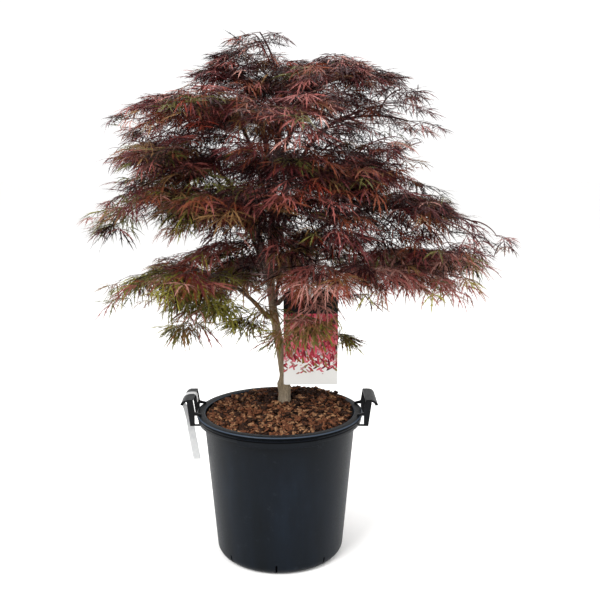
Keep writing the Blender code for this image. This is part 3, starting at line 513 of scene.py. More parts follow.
def mulchHeight(x, y):
    # a bell-shaped heap on a level bed, eased into a level seat round the trunk
    away = ((x - mulch["heapPlace"][0]) ** 2 + (y - mulch["heapPlace"][1]) ** 2) / mulch["heapSpread"] ** 2
    height = pot["height"] - mulch["sink"] + mulch["heap"] * np.exp(-away)
    free = ease(np.hypot(x - mulch["seat"][0], y - mulch["seat"][1]) / mulch["seatRadius"] - 1)
    return free * height + (1 - free) * mulch["seat"][2]


def barkChip(name, pale, mid, dark):
    # shredded pine bark: matt, with pale torn edges and dark outer skin in layers about 1.5 mm apart
    bark, place = startMaterial(name)
    layers = addNode(bark, "TexNoise", {"Vector": place, "Scale": 210.0, "Detail": 4.0, "Roughness": 0.7})
    finish = addNode(bark, "BsdfPrincipled", {
        "Base Color": addNode(bark, "ValToRGB", {"Fac": layers}, ((0.30, dark), (0.52, mid), (0.74, pale))),
        "Normal": addNode(bark, "Bump", {"Height": layers, "Strength": 0.5, "Distance": 0.0012}),
        "Roughness": 0.88, "IOR": 1.45, "Specular IOR Level": 0.2})
    addNode(bark, "OutputMaterial", {"Surface": finish})
    return bark


def spun(points, angles, first, second):
    # each group of points turned in the plane of two axes: a cos - b sin and a sin + b cos
    cosines, sines = np.cos(angles)[:, None], np.sin(angles)[:, None]
    turned = points.copy()
    turned[..., first] = points[..., first] * cosines - points[..., second] * sines
    turned[..., second] = points[..., first] * sines + points[..., second] * cosines
    return turned


def makeMulchBed():
    # rings from the trunk's seat out to the wall; the last two go down the wall and back under to the middle
    radius, seat, columns = mulch["radius"], mulch["seat"], mulch["columns"]
    shares = np.concatenate((np.linspace(0, 1, mulch["rings"]), (1.0, 1.0, 0.0)))[:, None]
    turn = np.linspace(0, 2 * np.pi, columns, endpoint=False)
    x = seat[0] * (1 - shares) + radius * shares * np.cos(turn)
    y = seat[1] * (1 - shares) + radius * shares * np.sin(turn)
    z = mulchHeight(x, y) - mulch["bedDrop"]
    lumps = waves(xyz(x, y, z).reshape(-1, 3), 3, finest=900.0).reshape(z.shape)
    z = z + mulch["lump"] * lumps * (shares < 0.99)
    z[-2:] = pot["height"] - mulch["depth"]
    for flat in (x, y):
        flat[-2:] *= mulch["within"] * np.array([[1], [0]])
    points, quads = xyz(x, y, z).reshape(-1, 3), gridQuads(len(shares), columns, True)
    # the bed's colours are partly the fine bark's own dark brown and partly painted shade for the gaps
    # between the chips
    finesAndGapShade = barkChip("pineBarkFinesWithGapShade", *mulch["finesAndGapShade"])
    closeMesh(newPiece("mulchBed", points, [quads], finesAndGapShade, slot="mulch", nodes=("bark_mulch",)), 60)


def makeChips():
    # unit cubes with pushed corners, scaled, turned and dropped on the bed
    source = np.random.default_rng(mulch["seed"])
    draw = source.uniform
    radius, seat, count = mulch["radius"], mulch["seat"], mulch["chips"]
    away = radius * mulch["within"] * np.sqrt(draw(0, 1, count))
    turn = draw(0, 2 * np.pi, count)
    x, y = away * np.cos(turn), away * np.sin(turn)
    free = np.hypot(x - seat[0], y - seat[1]) > mulch["trunkRoom"]
    x, y = x[free], y[free]
    count = len(x)
    corners = np.array([(a, b, c) for a in (-1, 1) for b in (-1, 1) for c in (-1, 1)], float)
    shortest, longest = mulch["size"]
    length = shortest * (longest / shortest) ** draw(0, 1, count) ** mulch["skew"]
    wide, thick = [length * draw(*mulch[key], count) for key in ("widthShare", "thickShare")]
    scale = xyz(length, wide, thick)
    shape = corners * draw(*mulch["pushed"], (count, 8, 3)) * scale[:, None, :]
    yaw = draw(0, 2 * np.pi, count)
    tilt = source.normal(0, mulch["tumble"], count)
    roll = source.normal(0, mulch["tumble"], count)
    turned = spun(spun(spun(shape, roll, 1, 2), tilt, 2, 0), yaw, 0, 1)
    height = mulchHeight(x, y) + draw(*mulch["sunk"], count)
    points = turned + xyz(x, y, height)[:, None, :]
    # a chip that would cross the pot's wall is pulled in
    reach = np.hypot(points[..., 0], points[..., 1]).max(axis=1)
    pull = np.minimum(1, (radius + 0.0004) / reach)
    points -= (xyz(x, y, 0.0) * (1 - pull)[:, None])[:, None, :] * mulch["pull"]
    box = np.array([(0, 1, 3, 2), (4, 6, 7, 5), (0, 4, 5, 1), (2, 3, 7, 6), (0, 2, 6, 4), (1, 5, 7, 3)])
    # painted shade: the dark kind is dealt thickest beside the trunk and at the back, where the crown's shade
    # falls on the bark
    flat = np.stack((x, y), axis=1)
    shadePatch = np.max([bump(flat, middle, size) for middle, size in mulch["shadePatch"]], axis=0)
    deal = draw(0, 1, count)
    deal += (mulch["shadePatchDeal"] - deal) * (draw(0, 1, count) < mulch["shadePatchShare"] * shadePatch)
    low = 0.0
    for name, colours, share in mulch["kinds"]:
        chosen = points[(deal >= low) & (deal < low + share + 1e-9)]
        low += share
        faces = copies(box, len(chosen), 8)
        newPiece(name, chosen.reshape(-1, 3), [faces], barkChip(name, *colours), smooth=False, slot="mulch")


makeMulchBed()
makeChips()
print("mulch ready")


# grafted trunk: heights of its bends and graft, and radii
trunk = {
    "foot": (0.011, 0.030, 0.364), "top": 1.095, "lean": -0.031, "leanHeights": (0.395, 0.660),
    "back": 0.020, "backHeights": (0.700, 1.095), "advance": -0.014, "advanceHeights": (0.380, 0.880),
    "graft": 0.413, "stock": 0.0142, "scion": 0.0112, "swelling": 0.0028, "tip": 0.0042, "rings": 260,
    "stockRings": 90, "stockSpan": (0.352, 0.440), "sides": 48, "girth": 0.012,
    # the side graft's shoulder and the hollow over it: size, height, spread, turn, power
    "shoulders": ((0.0040, 0.404, 0.012, 0.3, 2), (-0.0012, 0.432, 0.008, 0.0, 1)),
    # rings where leaves once stood: first, last and distance; size, spread and slant
    "nodes": (0.475, 1.08, 0.052), "node": (0.0007, 0.003, 0.004), "smoothing": (0.405, 0.430),
    "relief": ((0.00022, 0.00045), (0.00015, 0.0004)),
}
fanOfThree, fanOfTwo, fanOfOne = (-40, 0, 40), (-30, 30), (0,)
# heights of the boughs' roots and of the furthest tips, and the tips' reach: right, back, left, front
tiers = [
    {"name": "skirt", "root": (0.612, 0.592, 0.578, 0.600), "edge": (0.632, 0.615, 0.612, 0.657),
     "reach": (0.545, 0.430, 0.425, 0.370), "boughs": ((190, fanOfThree), (335, fanOfThree), (80, fanOfTwo))},
    {"name": "lower", "root": (0.680, 0.655, 0.665, 0.660), "edge": (0.752, 0.745, 0.804, 0.755),
     "reach": (0.612, 0.450, 0.458, 0.430),
     "boughs": ((250, fanOfThree), (5, fanOfThree), (130, fanOfThree))},
    {"name": "middle", "root": (0.745, 0.755, 0.735, 0.745), "edge": (0.850, 0.850, 0.862, 0.855),
     "reach": (0.430, 0.420, 0.425, 0.430), "boughs": ((190, fanOfThree), (310, fanOfThree), (70, fanOfTwo))},
    {"name": "upper", "root": (0.850, 0.820, 0.840, 0.830), "edge": (0.978, 0.960, 1.003, 0.965),
     "reach": (0.415, 0.380, 0.430, 0.380), "boughs": ((255, fanOfTwo), (15, fanOfTwo), (140, fanOfTwo))},
    {"name": "crest", "root": (0.955, 0.965, 0.940, 0.950), "edge": (1.045, 1.060, 1.072, 1.055),
     "reach": (0.388, 0.315, 0.272, 0.320), "boughs": ((195, fanOfOne), (330, fanOfTwo), (80, fanOfOne))},
]
limbs = {
    "seed": 11, "tipRise": 0.060, "boughShare": 0.32, "boughRadii": (0.0056, 0.0034), "boughBow": 0.12,
    "stemRadii": (0.0034, 0.0016), "stemBow": 0.08, "leafReach": 0.1105, "rootGap": 0.0063,
    "sunk": 0.003, "tipGap": 0.002, "boughWander": 0.010, "stemWander": 0.015, "fanWander": 5,
    "reachShares": (0.96, 1.02),
    # how the bark swells: collar and its share of the limb, knuckles, their turn, wander and roughness
    "collar": (0.45, 0.07), "knuckles": (0.07, 26), "wander": 0.0009, "rough": 0.05,
    "topStem": {"azimuth": 235, "length": 0.150, "rise": 88, "fall": 36},
}


def sided(values, azimuth):
    # right, back, left and front values weighed by the squares of the direction's parts
    x, y = math.cos(azimuth), math.sin(azimuth)
    weights = (max(x, 0) ** 2, max(y, 0) ** 2, max(-x, 0) ** 2, max(-y, 0) ** 2)
    return sum(weight * value for weight, value in zip(weights, values))


def trunkAxis(height):
    # upright stock, eased lean to the left above the graft, eased return to the tip
    height = np.asarray(height, float)
    lean = trunk["lean"] * easedBetween(trunk["leanHeights"], height)
    back = trunk["back"] * easedBetween(trunk["backHeights"], height)
    ahead = trunk["advance"] * easedBetween(trunk["advanceHeights"], height)
    return xyz(trunk["foot"][0] + lean + back, trunk["foot"][1] + ahead, height)


def trunkRadius(height):
    # flared foot and even stock, then a swelling at the graft that dies away into a taper
    height = np.asarray(height, float)
    stock = trunk["stock"] + trunk["swelling"] * np.exp(-(height - trunk["foot"][2]) / 0.010)
    rise = np.clip((height - trunk["graft"]) / (trunk["top"] - trunk["graft"]), 0, 1)
    scion = trunk["scion"] - (trunk["scion"] - trunk["tip"]) * rise ** 1.3
    scion = scion + trunk["swelling"] * np.exp(-rise / 0.020)
    return np.where(height < trunk["graft"], stock, scion)


def bowed(start, end, bow, steps):
    # the chord plus a parabola of height bow x span
    share = np.linspace(0, 1, steps + 1)[:, None]
    lift = bow * np.linalg.norm(end - start) * 4 * share * (1 - share)
    return start + (end - start) * share + lift * np.array((0.0, 0.0, 1.0))


def arching(roots, azimuths, lengths, rises, falls, bends, steps):
    # lines whose slope goes evenly from rise to fall while they turn sideways by bend: summed unit steps
    share = (np.arange(steps) + 0.5) / steps
    slope = rises[:, None] + (falls - rises)[:, None] * share
    turn = azimuths[:, None] + bends[:, None] * share
    way = xyz(np.cos(slope) * np.cos(turn), np.cos(slope) * np.sin(turn), np.sin(slope))
    path = np.cumsum(way * lengths[:, None, None] / steps, axis=1)
    return np.concatenate((roots[:, None, :], roots[:, None, :] + path), axis=1)


def growLimbs():
    # the same rule and seed as the solids: boughs from the trunk, and the stems that fan out from their tips
    chance = random.Random(limbs["seed"])
    boughs, stems = [], []
    for tier in tiers:
        for number, (degrees, fan) in enumerate(tier["boughs"], 1):
            azimuth = math.radians(degrees)
            height = sided(tier["root"], azimuth)
            along = unit(trunkAxis(height + 0.005) - trunkAxis(height - 0.005))
            out = unit(heading(azimuth) - along * (heading(azimuth) @ along))
            start = trunkAxis(height) + out * (float(trunkRadius(height)) + limbs["rootGap"])
            stray = chance.uniform(-limbs["boughWander"], limbs["boughWander"])
            end = trunkAxis(sided(tier["edge"], azimuth) + limbs["tipRise"] + stray)
            end = end + heading(azimuth) * sided(tier["reach"], azimuth) * limbs["boughShare"]
            line = bowed(start, end, limbs["boughBow"], 4)
            fine = bowed(start, end, limbs["boughBow"], 22)
            boughs.append(np.vstack((trunkAxis(height), start - out * limbs["sunk"], fine)))
            ahead = unit(line[-1] - line[-2])
            for letter, turn in zip("abc", fan):
                goal = azimuth + math.radians(turn + chance.uniform(-limbs["fanWander"], limbs["fanWander"]))
                reach = sided(tier["reach"], goal) * chance.uniform(*limbs["reachShares"])
                stray = chance.uniform(-limbs["stemWander"], limbs["stemWander"])
                end = trunkAxis(sided(tier["edge"], goal) + limbs["tipRise"] + stray)
                end = end + heading(goal) * (reach - limbs["leafReach"])
                path = bowed(line[-1] - ahead * limbs["tipGap"], end, limbs["stemBow"], 24)
                name = f"mass_{tier['name']}_{number}{letter}"
                stems.append({"name": name, "tier": tier["name"], "azimuth": goal, "line": path})
    top = limbs["topStem"]
    angles = [np.array([math.radians(top[key])]) for key in ("azimuth", "rise", "fall")]
    root = trunkAxis([trunk["top"] - 0.002])
    line = arching(root, angles[0], np.array([top["length"]]), angles[1], angles[2], np.zeros(1), 24)[0]
    stems.append({"name": "mass_top", "tier": "top", "azimuth": angles[0][0], "line": line})
    return boughs, stems


def makeBark(name, low, high, cracks, *stops):
    # young maple bark: smooth and waxy, with pale lenticels about 2 mm across and fine upright cracks
    bark, place = startMaterial(name)
    height = (addNode(bark, "SeparateXYZ", {"Vector": place}), "Z")
    uneven = addNode(bark, "TexNoise", {"Vector": place, "Scale": 30.0, "Detail": 4.0})
    wander = addNode(bark, "Math", {0: uneven, 1: 0.035}, operation="MULTIPLY")
    level = addNode(bark, "Math", {0: height, 1: wander}, operation="ADD")
    rise = addNode(bark, "MapRange", {"Value": level, "From Min": low, "From Max": high})
    body = addNode(bark, "ValToRGB", {"Fac": rise}, stops)
    stretch = addNode(bark, "Mapping", {"Vector": place, "Scale": (1.0, 1.0, 0.22)})
    grain = addNode(bark, "TexNoise", {"Vector": stretch, "Scale": 260.0, "Detail": 5.0, "Roughness": 0.7})
    flat = addNode(bark, "Mapping", {"Vector": place, "Scale": (1.0, 1.0, 2.4)})
    dots = addNode(bark, "TexVoronoi", {"Vector": flat, "Scale": 170.0})
    for pattern, first, last, much, code in ((grain, 0.30, 0.62, cracks, "#1d140f"),
                                             (dots, 0.16, 0.30, 0.55, "#a3937c")):
        share = addNode(bark, "MapRange", {
            "Value": pattern, "From Min": first, "From Max": last, "To Min": much, "To Max": 0.0})
        body = addNode(bark, "Mix", {"Factor": share, "A": body, "B": code}, data_type="RGBA")
    finish = addNode(bark, "BsdfPrincipled", {
        "Base Color": body,
        "Normal": addNode(bark, "Bump", {"Height": grain, "Strength": 0.5, "Distance": 0.0008}),
        "Roughness": 0.62, "IOR": 1.45, "Specular IOR Level": 0.25})
    addNode(bark, "OutputMaterial", {"Surface": finish})
    return bark


def makeTrunk():
    # radius(height, turn) = taper + side graft's shoulder + nodes' rings + upright ridges and fine waves
    stockRings, sides, girth = trunk["stockRings"], trunk["sides"], trunk["girth"]
    low, high = trunk["stockSpan"]
    scion = np.linspace(high + 0.001, trunk["top"], trunk["rings"] - stockRings)
    heights = np.concatenate((np.linspace(low, high, stockRings), scion))
    turn = np.linspace(0, 2 * np.pi, sides, endpoint=False)
    h = heights[:, None]
    radius = trunkRadius(np.maximum(h, trunk["foot"][2])) + 0 * turn
    for size, middle, spread, side, power in trunk["shoulders"]:
        radius += size * np.exp(-((h - middle) / spread) ** 2) * np.maximum(0, np.cos(turn + side)) ** power
    size, spread, slant = trunk["node"]
    for node in np.arange(*trunk["nodes"]):
        radius += size * np.exp(-((h - node - slant * np.cos(turn)) / spread) ** 2)
    x, y = girth * np.cos(turn), girth * np.sin(turn)
    upright, even = [xyz(x, y, scale * h).reshape(-1, 3) for scale in (0.25, 1.0)]
    ridges = waves(upright, 8, finest=1500.0).reshape(radius.shape)
    rough = waves(even, 9, finest=900.0).reshape(radius.shape)
    stockShare = 1 - easedBetween(trunk["smoothing"], h)
    (ridge, stockRidge), (grit, stockGrit) = trunk["relief"]
    radius += (ridge + stockRidge * stockShare) * ridges + (grit + stockGrit * stockShare) * rough
    points, quads, caps = tubes(trunkAxis(heights)[None], radius[None], sides)
    bark = makeBark("graftedMapleBark", 0.36, 1.10, 0.62, (0.02, "#8a7e6f"), (0.085, "#85775f"),
                    (0.13, "#94826a"), (0.30, "#84705a"), (0.50, "#463129"), (1.0, "#3a231f"))
    newPiece("mapleTrunk", points, [quads, caps], bark, slot="bark", nodes=("trunk",))


def makeBoughs(boughs, stems):
    # every limb of a kind has the same steps; radius = taper + collar at the root + shallow knuckles
    bark = makeBark("youngMapleBark", 0.55, 1.20, 0.45, (0.0, "#4c3a2b"), (0.4, "#41292a"), (1.0, "#3a2024"))
    (collarSize, collarShare), (knuckleSize, knuckleTurn) = limbs["collar"], limbs["knuckles"]
    shapes = []
    kinds = ((boughs, limbs["boughRadii"], 12), ([stem["line"] for stem in stems], limbs["stemRadii"], 8))
    for lines, (thick, thin), sides in kinds:
        paths = np.array(lines)
        share = np.linspace(0, 1, paths.shape[1])
        taper = thick + (thin - thick) * share
        collar = collarSize * thick * np.exp(-share / collarShare)
        knuckles = knuckleSize * thick * np.maximum(0, np.sin(share * knuckleTurn)) ** 6
        radius = np.repeat((taper + collar + knuckles)[None], len(paths), axis=0)
        wander = limbs["wander"] * waves(paths.reshape(-1, 3), 21, finest=160.0).reshape(radius.shape)
        paths = paths + wander[..., None] * np.array((0.4, 0.4, 1.0)) * np.minimum(1, share * 6)[:, None]
        rough = 1 + limbs["rough"] * waves(paths.reshape(-1, 3), 22, finest=700.0).reshape(radius.shape)
        shapes.append(tubes(paths, radius * rough, sides))
    nodes = [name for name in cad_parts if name.startswith("bough_")]
    newPiece("mapleBoughs", *gathered(shapes), bark, slot="bark", nodes=nodes)


boughLines, stemList = growLimbs()
makeTrunk()
makeBoughs(boughLines, stemList)
print("limbs ready:", len(boughLines), "boughs and", len(stemList), "stems")


# height, then how far the crown reaches there from the trunk's axis: right, back, left, front
crownReach = np.array([
    (0.50, 0.19, 0.22, 0.26, 0.24), (0.58, 0.43, 0.42, 0.45, 0.36), (0.63, 0.54, 0.46, 0.45, 0.39),
    (0.68, 0.54, 0.48, 0.31, 0.41), (0.72, 0.58, 0.49, 0.28, 0.43), (0.77, 0.60, 0.49, 0.42, 0.44),
    (0.82, 0.43, 0.48, 0.47, 0.43), (0.87, 0.42, 0.46, 0.45, 0.42), (0.905, 0.32, 0.43, 0.37, 0.41),
    (0.94, 0.41, 0.42, 0.41, 0.40), (0.975, 0.31, 0.39, 0.34, 0.39), (1.01, 0.43, 0.38, 0.45, 0.39),
    (1.07, 0.38, 0.34, 0.39, 0.35), (1.12, 0.30, 0.30, 0.22, 0.29), (1.165, 0.22, 0.20, 0.17, 0.20),
    (1.19, 0.16, 0.15, 0.16, 0.16), (1.21, 0.05, 0.11, 0.14, 0.12), (1.24, 0.03, 0.09, 0.11, 0.08)])


def reachShare(roots, ends):
    # the largest part of the way from each root to its end that stays within the crown at the end's height
    out = []
    for position in (roots, ends):
        away = position[:, :2] - trunkAxis(position[:, 2])[:, :2]
        out.append(np.hypot(away[:, 0], away[:, 1]))
    x, y = (away / np.maximum(out[1], 1e-6)[:, None]).T
    weights = np.stack((np.maximum(x, 0), np.maximum(y, 0), np.maximum(-x, 0), np.maximum(-y, 0))) ** 2
    limit = sum(weights[k] * np.interp(ends[:, 2], crownReach[:, 0], crownReach[:, k + 1]) for k in range(4))
    return np.clip(np.where(out[1] > limit, (limit - out[0]) / np.maximum(out[1] - out[0], 1e-6), 1), 0, 1)


branchlet = {
    "seed": 19, "shares": (0.08, 0.40), "turn": (8, 32), "length": (0.78, 0.98), "rise": (24, 44),
    "fall": (-24, -4), "skirtLift": 0.4, "steps": 24, "tipRoom": 0.05, "innerSway": (-14, 14),
    "innerShares": (0.46, 0.66, 0.86), "innerTurns": (-58, 52, 6), "innerLength": (0.10, 0.17),
    "innerRise": (12, 46), "innerFall": (-34, -4), "climbShares": (0.22, 0.62), "climbTurn": (10, 50),
    "climbLength": (0.085, 0.150), "climbRise": (44, 66), "climbFall": (-16, 14),
    "radii": (0.0021, 0.0010),
}
# thin low branchlets round the trunk and the tag, hanging ones on the right, and inner ones on the left:
# kind, limb, its number, share of the way along it (on the trunk a height), azimuth, length, rise, fall
lowBranchlets = [
    ("low", "trunk", 0, 0.630, -112, 0.130, 6, -38),
    ("low", "bough", 1, 0.35, -98, 0.165, -2, -62),
    ("low", "bough", 1, 0.80, -102, 0.165, -4, -62),
    ("low", "bough", 1, 0.55, 4, 0.150, -48, -80),
    ("low", "bough", 0, 0.60, -100, 0.120, 6, -26),
    ("low", "bough", 0, 0.86, -128, 0.150, -10, -62),
    ("hanging", "stem", 11, 0.12, -70, 0.150, -12, -62),
    ("hanging", "stem", 11, 0.45, -45, 0.160, -6, -60),
    ("hanging", "stem", 11, 0.85, -22, 0.150, -4, -62),
    ("hanging", "stem", 12, 0.12, -40, 0.150, -12, -62),
    ("hanging", "stem", 12, 0.35, -28, 0.170, -8, -60),
    ("hanging", "stem", 12, 0.65, -6, 0.180, -6, -58),
    ("hanging", "stem", 12, 0.95, -14, 0.150, -2, -60),
    ("hanging", "stem", 13, 0.60, 20, 0.170, -6, -60),
    ("low", "stem", 8, 0.85, 195, 0.110, -16, -60),
    ("inner", "stem", 30, 0.35, 172, 0.170, -8, -30),
    ("inner", "stem", 25, 0.40, 200, 0.170, -10, -32),
]
# branchlets that round the crown off under its top: height on the trunk, azimuth, length, rise, fall
highBranchlets = [
    (1.045, 190, 0.215, 68, 6), (1.075, 170, 0.190, 66, 10), (1.060, 140, 0.160, 66, 8),
    (1.085, 205, 0.140, 70, 20), (1.050, 15, 0.190, 60, 0), (1.030, 335, 0.215, 50, -2),
    (1.090, 20, 0.125, 84, 34), (1.088, 320, 0.120, 84, 40), (1.085, 100, 0.120, 84, 40),
    (1.090, 40, 0.120, 86, 50), (1.090, 215, 0.145, 82, 48), (1.075, 285, 0.120, 64, 6),
    (1.070, 75, 0.130, 64, 6), (1.010, 165, 0.235, 46, -4), (1.085, 5, 0.185, 62, 0),
    (1.085, 186, 0.150, 72, 34), (1.085, 335, 0.175, 62, 0), (1.080, 40, 0.170, 64, 2),
    (1.010, 50, 0.200, 52, 0), (1.000, 250, 0.190, 52, 0), (1.010, 110, 0.190, 50, 0),
]
twig = {
    "seed": 7, "turn": (34, 78), "length": 0.128, "lengthShare": (0.66, 1.16), "rise": (-2, 36),
    "fall": (-48, -14), "bend": (4, 26), "radius": 0.00095, "steps": 5, "room": (0.004, 0.042),
    "leafRoom": 0.034, "shootRise": (26, 60), "shootFall": (-24, 14), "hangerRise": (-36, -8),
    "hangerFall": (-74, -44), "leaderRise": (-14, 6), "leaderFall": (-52, -26), "topSpin": 7.5,
    "fullWithin": 0.13, "thinBeyond": 0.38, "thinShare": 0.46, "crestFrom": (0.94, 1.06),
    "crestShare": 0.60, "clumpSeed": 41, "clumps": 80.0, "clumpEdge": (0.45, -0.35),
    "clumpOut": (0.10, 0.30), "openings": (0.50, 0.92),
    "outwards": (1.22, 0.50), "strayTurn": 1.3, "strayShare": 0.60, "strayLength": (0.5, 1.1),
    "leaderTurn": 0.45, "leaderLength": (0.75, 1.15), "leaderBend": 8.0,
    # fuller or thinner spots: x, z, width, height, how much, and y and depth where they aren't 0 and 0.40
    "spots": (
        (-0.28, 1.03, 0.20, 0.05, 0.9), (-0.36, 0.995, 0.09, 0.03, 0.9), (0.36, 1.00, 0.07, 0.04, 0.5),
        (-0.33, 0.79, 0.07, 0.04, 0.8), (-0.21, 1.13, 0.10, 0.04, -0.8), (-0.09, 1.18, 0.05, 0.03, 0.9),
        (0.14, 1.17, 0.07, 0.025, 0.9), (0.20, 1.03, 0.10, 0.04, -0.6), (0.16, 1.03, 0.06, 0.03, -0.7),
        (-0.33, 0.97, 0.10, 0.03, -0.4), (0.30, 1.02, 0.05, 0.02, 0.6), (0.30, 0.985, 0.05, 0.02, -0.6),
        (0.25, 1.15, 0.04, 0.02, -0.8), (-0.15, 1.15, 0.05, 0.03, -0.6), (-0.40, 0.94, 0.08, 0.04, -0.5),
        (-0.34, 0.865, 0.10, 0.02, -0.4), (0.47, 0.80, 0.09, 0.035, -0.9),
        (0.22, 0.785, 0.08, 0.02, 0.7, -0.05, 0.40), (-0.27, 0.73, 0.10, 0.035, -0.8),
        (0.36, 0.715, 0.20, 0.04, 0.5), (0.25, 0.65, 0.15, 0.05, -0.75, -0.05, 0.40),
        (0.09, 0.70, 0.08, 0.04, -0.5, -0.20, 0.14), (-0.30, 0.65, 0.14, 0.03, -0.5, -0.05, 0.40),
        (-0.38, 0.67, 0.07, 0.03, -0.6), (-0.20, 0.575, 0.10, 0.04, 0.9, -0.05, 0.40)),
}
# what each kind of limb carries: where twigs start, pairs, shoots above, hangers below, size, leader's length
loadKeys = ("start", "pairs", "shoots", "hangers", "size", "leader")
burden = {kind: dict(zip(loadKeys, values)) for kind, *values in (
    ("skirt", 0.05, 6, 2, 11, 1.0, 0.085),
    ("stem", 0.05, 6, 4, 3, 1.0, 0.085),
    ("branchlet", 0.18, 4, 1, 1, 0.74, 0.066),
    ("inner", 0.15, 4, 2, 1, 0.74, 0.06),
    ("climbing", 0.35, 3, 1, 1, 0.66, 0.058),
    ("hanging", 0.15, 4, 0, 2, 0.74, 0.06),
    ("low", 0.3, 3, 0, 0, 0.3, 0.024),
    ("high", 0.25, 5, 2, 1, 0.62, 0.055),
    ("top", 0.1, 10, 4, 3, 0.66, 0.06),
)}
twiglet = {
    "share": 0.66, "stations": (0.34, 0.68), "turn": (30, 64), "length": (0.28, 0.46), "rise": (-10, 18),
    "fall": (-55, -20), "bend": (0, 20), "radius": 0.00055, "steps": 3,
}


def pointOn(line, share):
    shares = np.linspace(0, 1, len(line))
    return np.array([np.interp(share, shares, line[:, k]) for k in range(3)])


def archedLimb(root, azimuth, length, rise, fall, bend=0.0):
    # one arching line in degrees, shortened until its leaves fit within the crown
    turn, rise, fall, bend = [np.radians([value]) for value in (azimuth, rise, fall, bend)]
    root, steps = np.array([root]), branchlet["steps"]
    for _ in range(4):
        line = arching(root, turn, np.array([length]), rise, fall, bend, steps)[0]
        last = line[-1] - line[-2]
        ahead = line[-1] + last * branchlet["tipRoom"] / np.linalg.norm(last)
        share = reachShare(line[[0, 0, 0]], np.array([line[steps // 3], line[2 * steps // 3], ahead])).min()
        if share == 1:
            break
        length *= max(0.45, 0.97 * share)
    return line


def growBranchlets(boughs, stems):
    # lighter branches that rise from the stems and boughs into the space between the tiers
    chance = random.Random(branchlet["seed"])
    grown = []

    def draw(key):
        return chance.uniform(*branchlet[key])

    def add(kind, mass, root, *shape):
        grown.append({"kind": kind, "mass": mass, "line": archedLimb(root, *shape)})

    for number, stem in enumerate(stems):
        if stem["tier"] == "top":
            continue
        flow = math.degrees(stem["azimuth"])
        side = chance.choice((-1, 1))
        lift = branchlet["skirtLift"] if stem["tier"] == "skirt" else 1.0
        for share in branchlet["shares"]:
            root = pointOn(stem["line"], share)
            side = -side
            length = np.linalg.norm(stem["line"][-1] - root) * draw("length")
            add("branchlet", number, root, flow + side * draw("turn"), length, lift * draw("rise"),
                draw("fall"), -side * 8)
        for share in branchlet["climbShares"] if stem["tier"] != "crest" else ():
            side = -side
            root = pointOn(stem["line"], share)
            add("climbing", None, root, flow + side * draw("climbTurn"), draw("climbLength"),
                lift * draw("climbRise"), draw("climbFall"))
    for bough in boughs:
        flow = math.degrees(math.atan2(*(bough[-1] - bough[0])[1::-1]))
        for share, turn in zip(branchlet["innerShares"], branchlet["innerTurns"]):
            add("inner", None, pointOn(bough, share), flow + turn + draw("innerSway"), draw("innerLength"),
                draw("innerRise"), draw("innerFall"))
    for height, *shape in highBranchlets:
        add("high", None, trunkAxis(height), *shape)
    lines = {"bough": boughs, "stem": [stem["line"] for stem in stems]}
    for kind, limb, number, place, *shape in lowBranchlets:
        add(kind, None, trunkAxis(place) if limb == "trunk" else pointOn(lines[limb][number], place), *shape)
    return grown


def growTwigs(carriers):
    # each row: root (3), azimuth, length, rise, fall, bend, carrier
    source = random.Random(twig["seed"])
    draw = source.uniform
    rows = []
    for number, carrier in enumerate(carriers):
        line, plan = carrier["line"], burden[carrier["kind"]]
        flow = math.atan2(*(line[-1] - line[0])[1::-1])
        spin = twig["topSpin"] if carrier["kind"] == "top" else 0.0
        usual, (full, loss) = twig["length"] * plan["size"], twig["outwards"]
        for station in np.linspace(plan["start"], 0.95, plan["pairs"]):
            for side in (-1, 1):
                place = float(np.clip(station + draw(-0.05, 0.05), 0.03, 0.98))
                azimuth = flow + side * math.radians(draw(*twig["turn"])) + spin * station
                length = usual * (full - loss * station) * draw(*twig["lengthShare"])
                rows.append((*pointOn(line, place), azimuth, length, draw(*twig["rise"]), draw(*twig["fall"]),
                             -side * draw(*twig["bend"]), number))
        for kind in ("shoot", "hanger"):
            for _ in range(plan[kind + "s"]):
                root = pointOn(line, draw(0.05, 0.95))
                azimuth = flow + draw(-twig["strayTurn"], twig["strayTurn"]) + spin * source.random()
                length = twig["strayShare"] * usual * draw(*twig["strayLength"])
                rows.append((*root, azimuth, length, draw(*twig[kind + "Rise"]), draw(*twig[kind + "Fall"]),
                             0.0, number))
        for side in (-1, 0, 1):
            root, azimuth = pointOn(line, 1.0 - 0.04 * abs(side)), flow + side * twig["leaderTurn"]
            length = plan["leader"] * draw(*twig["leaderLength"])
            rows.append((*root, azimuth, length, draw(*twig["leaderRise"]), draw(*twig["leaderFall"]),
                         side * twig["leaderBend"], number))
    return np.array(rows)


def insideShare(roots, ends, low, high):
    # the largest part of the way from each root to its end that stays in its box
    step = ends - roots
    moving = np.abs(step) > 1e-6
    share = np.where(moving, np.where(step > 0, high - roots, low - roots) / np.where(moving, step, 1), 9.0)
    return np.clip(share.min(axis=1), 0, 1)


def growthBoxes(carriers, stems):
    # the space of the mass that a limb belongs to, a little taller than the solid's; else the whole crown's
    aside, above = twig["room"]
    whole = np.array([list(corner) for corner in cadBox])
    boxes = []
    for carrier in carriers:
        box = whole
        if carrier["mass"] is not None:
            box = np.array([list(corner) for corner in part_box(stems[carrier["mass"]]["name"])])
            box += np.array([(-aside, -aside, -above), (aside, aside, above)])
        boxes.append(np.clip(box, whole[0], whole[1]))
    return np.array(boxes)


def spotted(odds, position, spots):
    # odds pulled towards 1 or 0 by each spot's bump
    for x, z, width, height, much, *rest in spots:
        y, depth = rest or (0.0, 0.40)
        share = much * bump(position, (x, y, z), (width, depth, height))
        odds = odds + np.where(share > 0, (1 - odds) * share, odds * share)
    return odds


def crownShares(position, sizes):
    # 1 near the trunk's axis, eased to the thin share far out
    axis = trunkAxis(position[:, 2])
    out = np.hypot(position[:, 0] - axis[:, 0], position[:, 1] - axis[:, 1])
    return out, 1 - (1 - sizes["thinShare"]) * easedBetween((sizes["fullWithin"], sizes["thinBeyond"]), out)


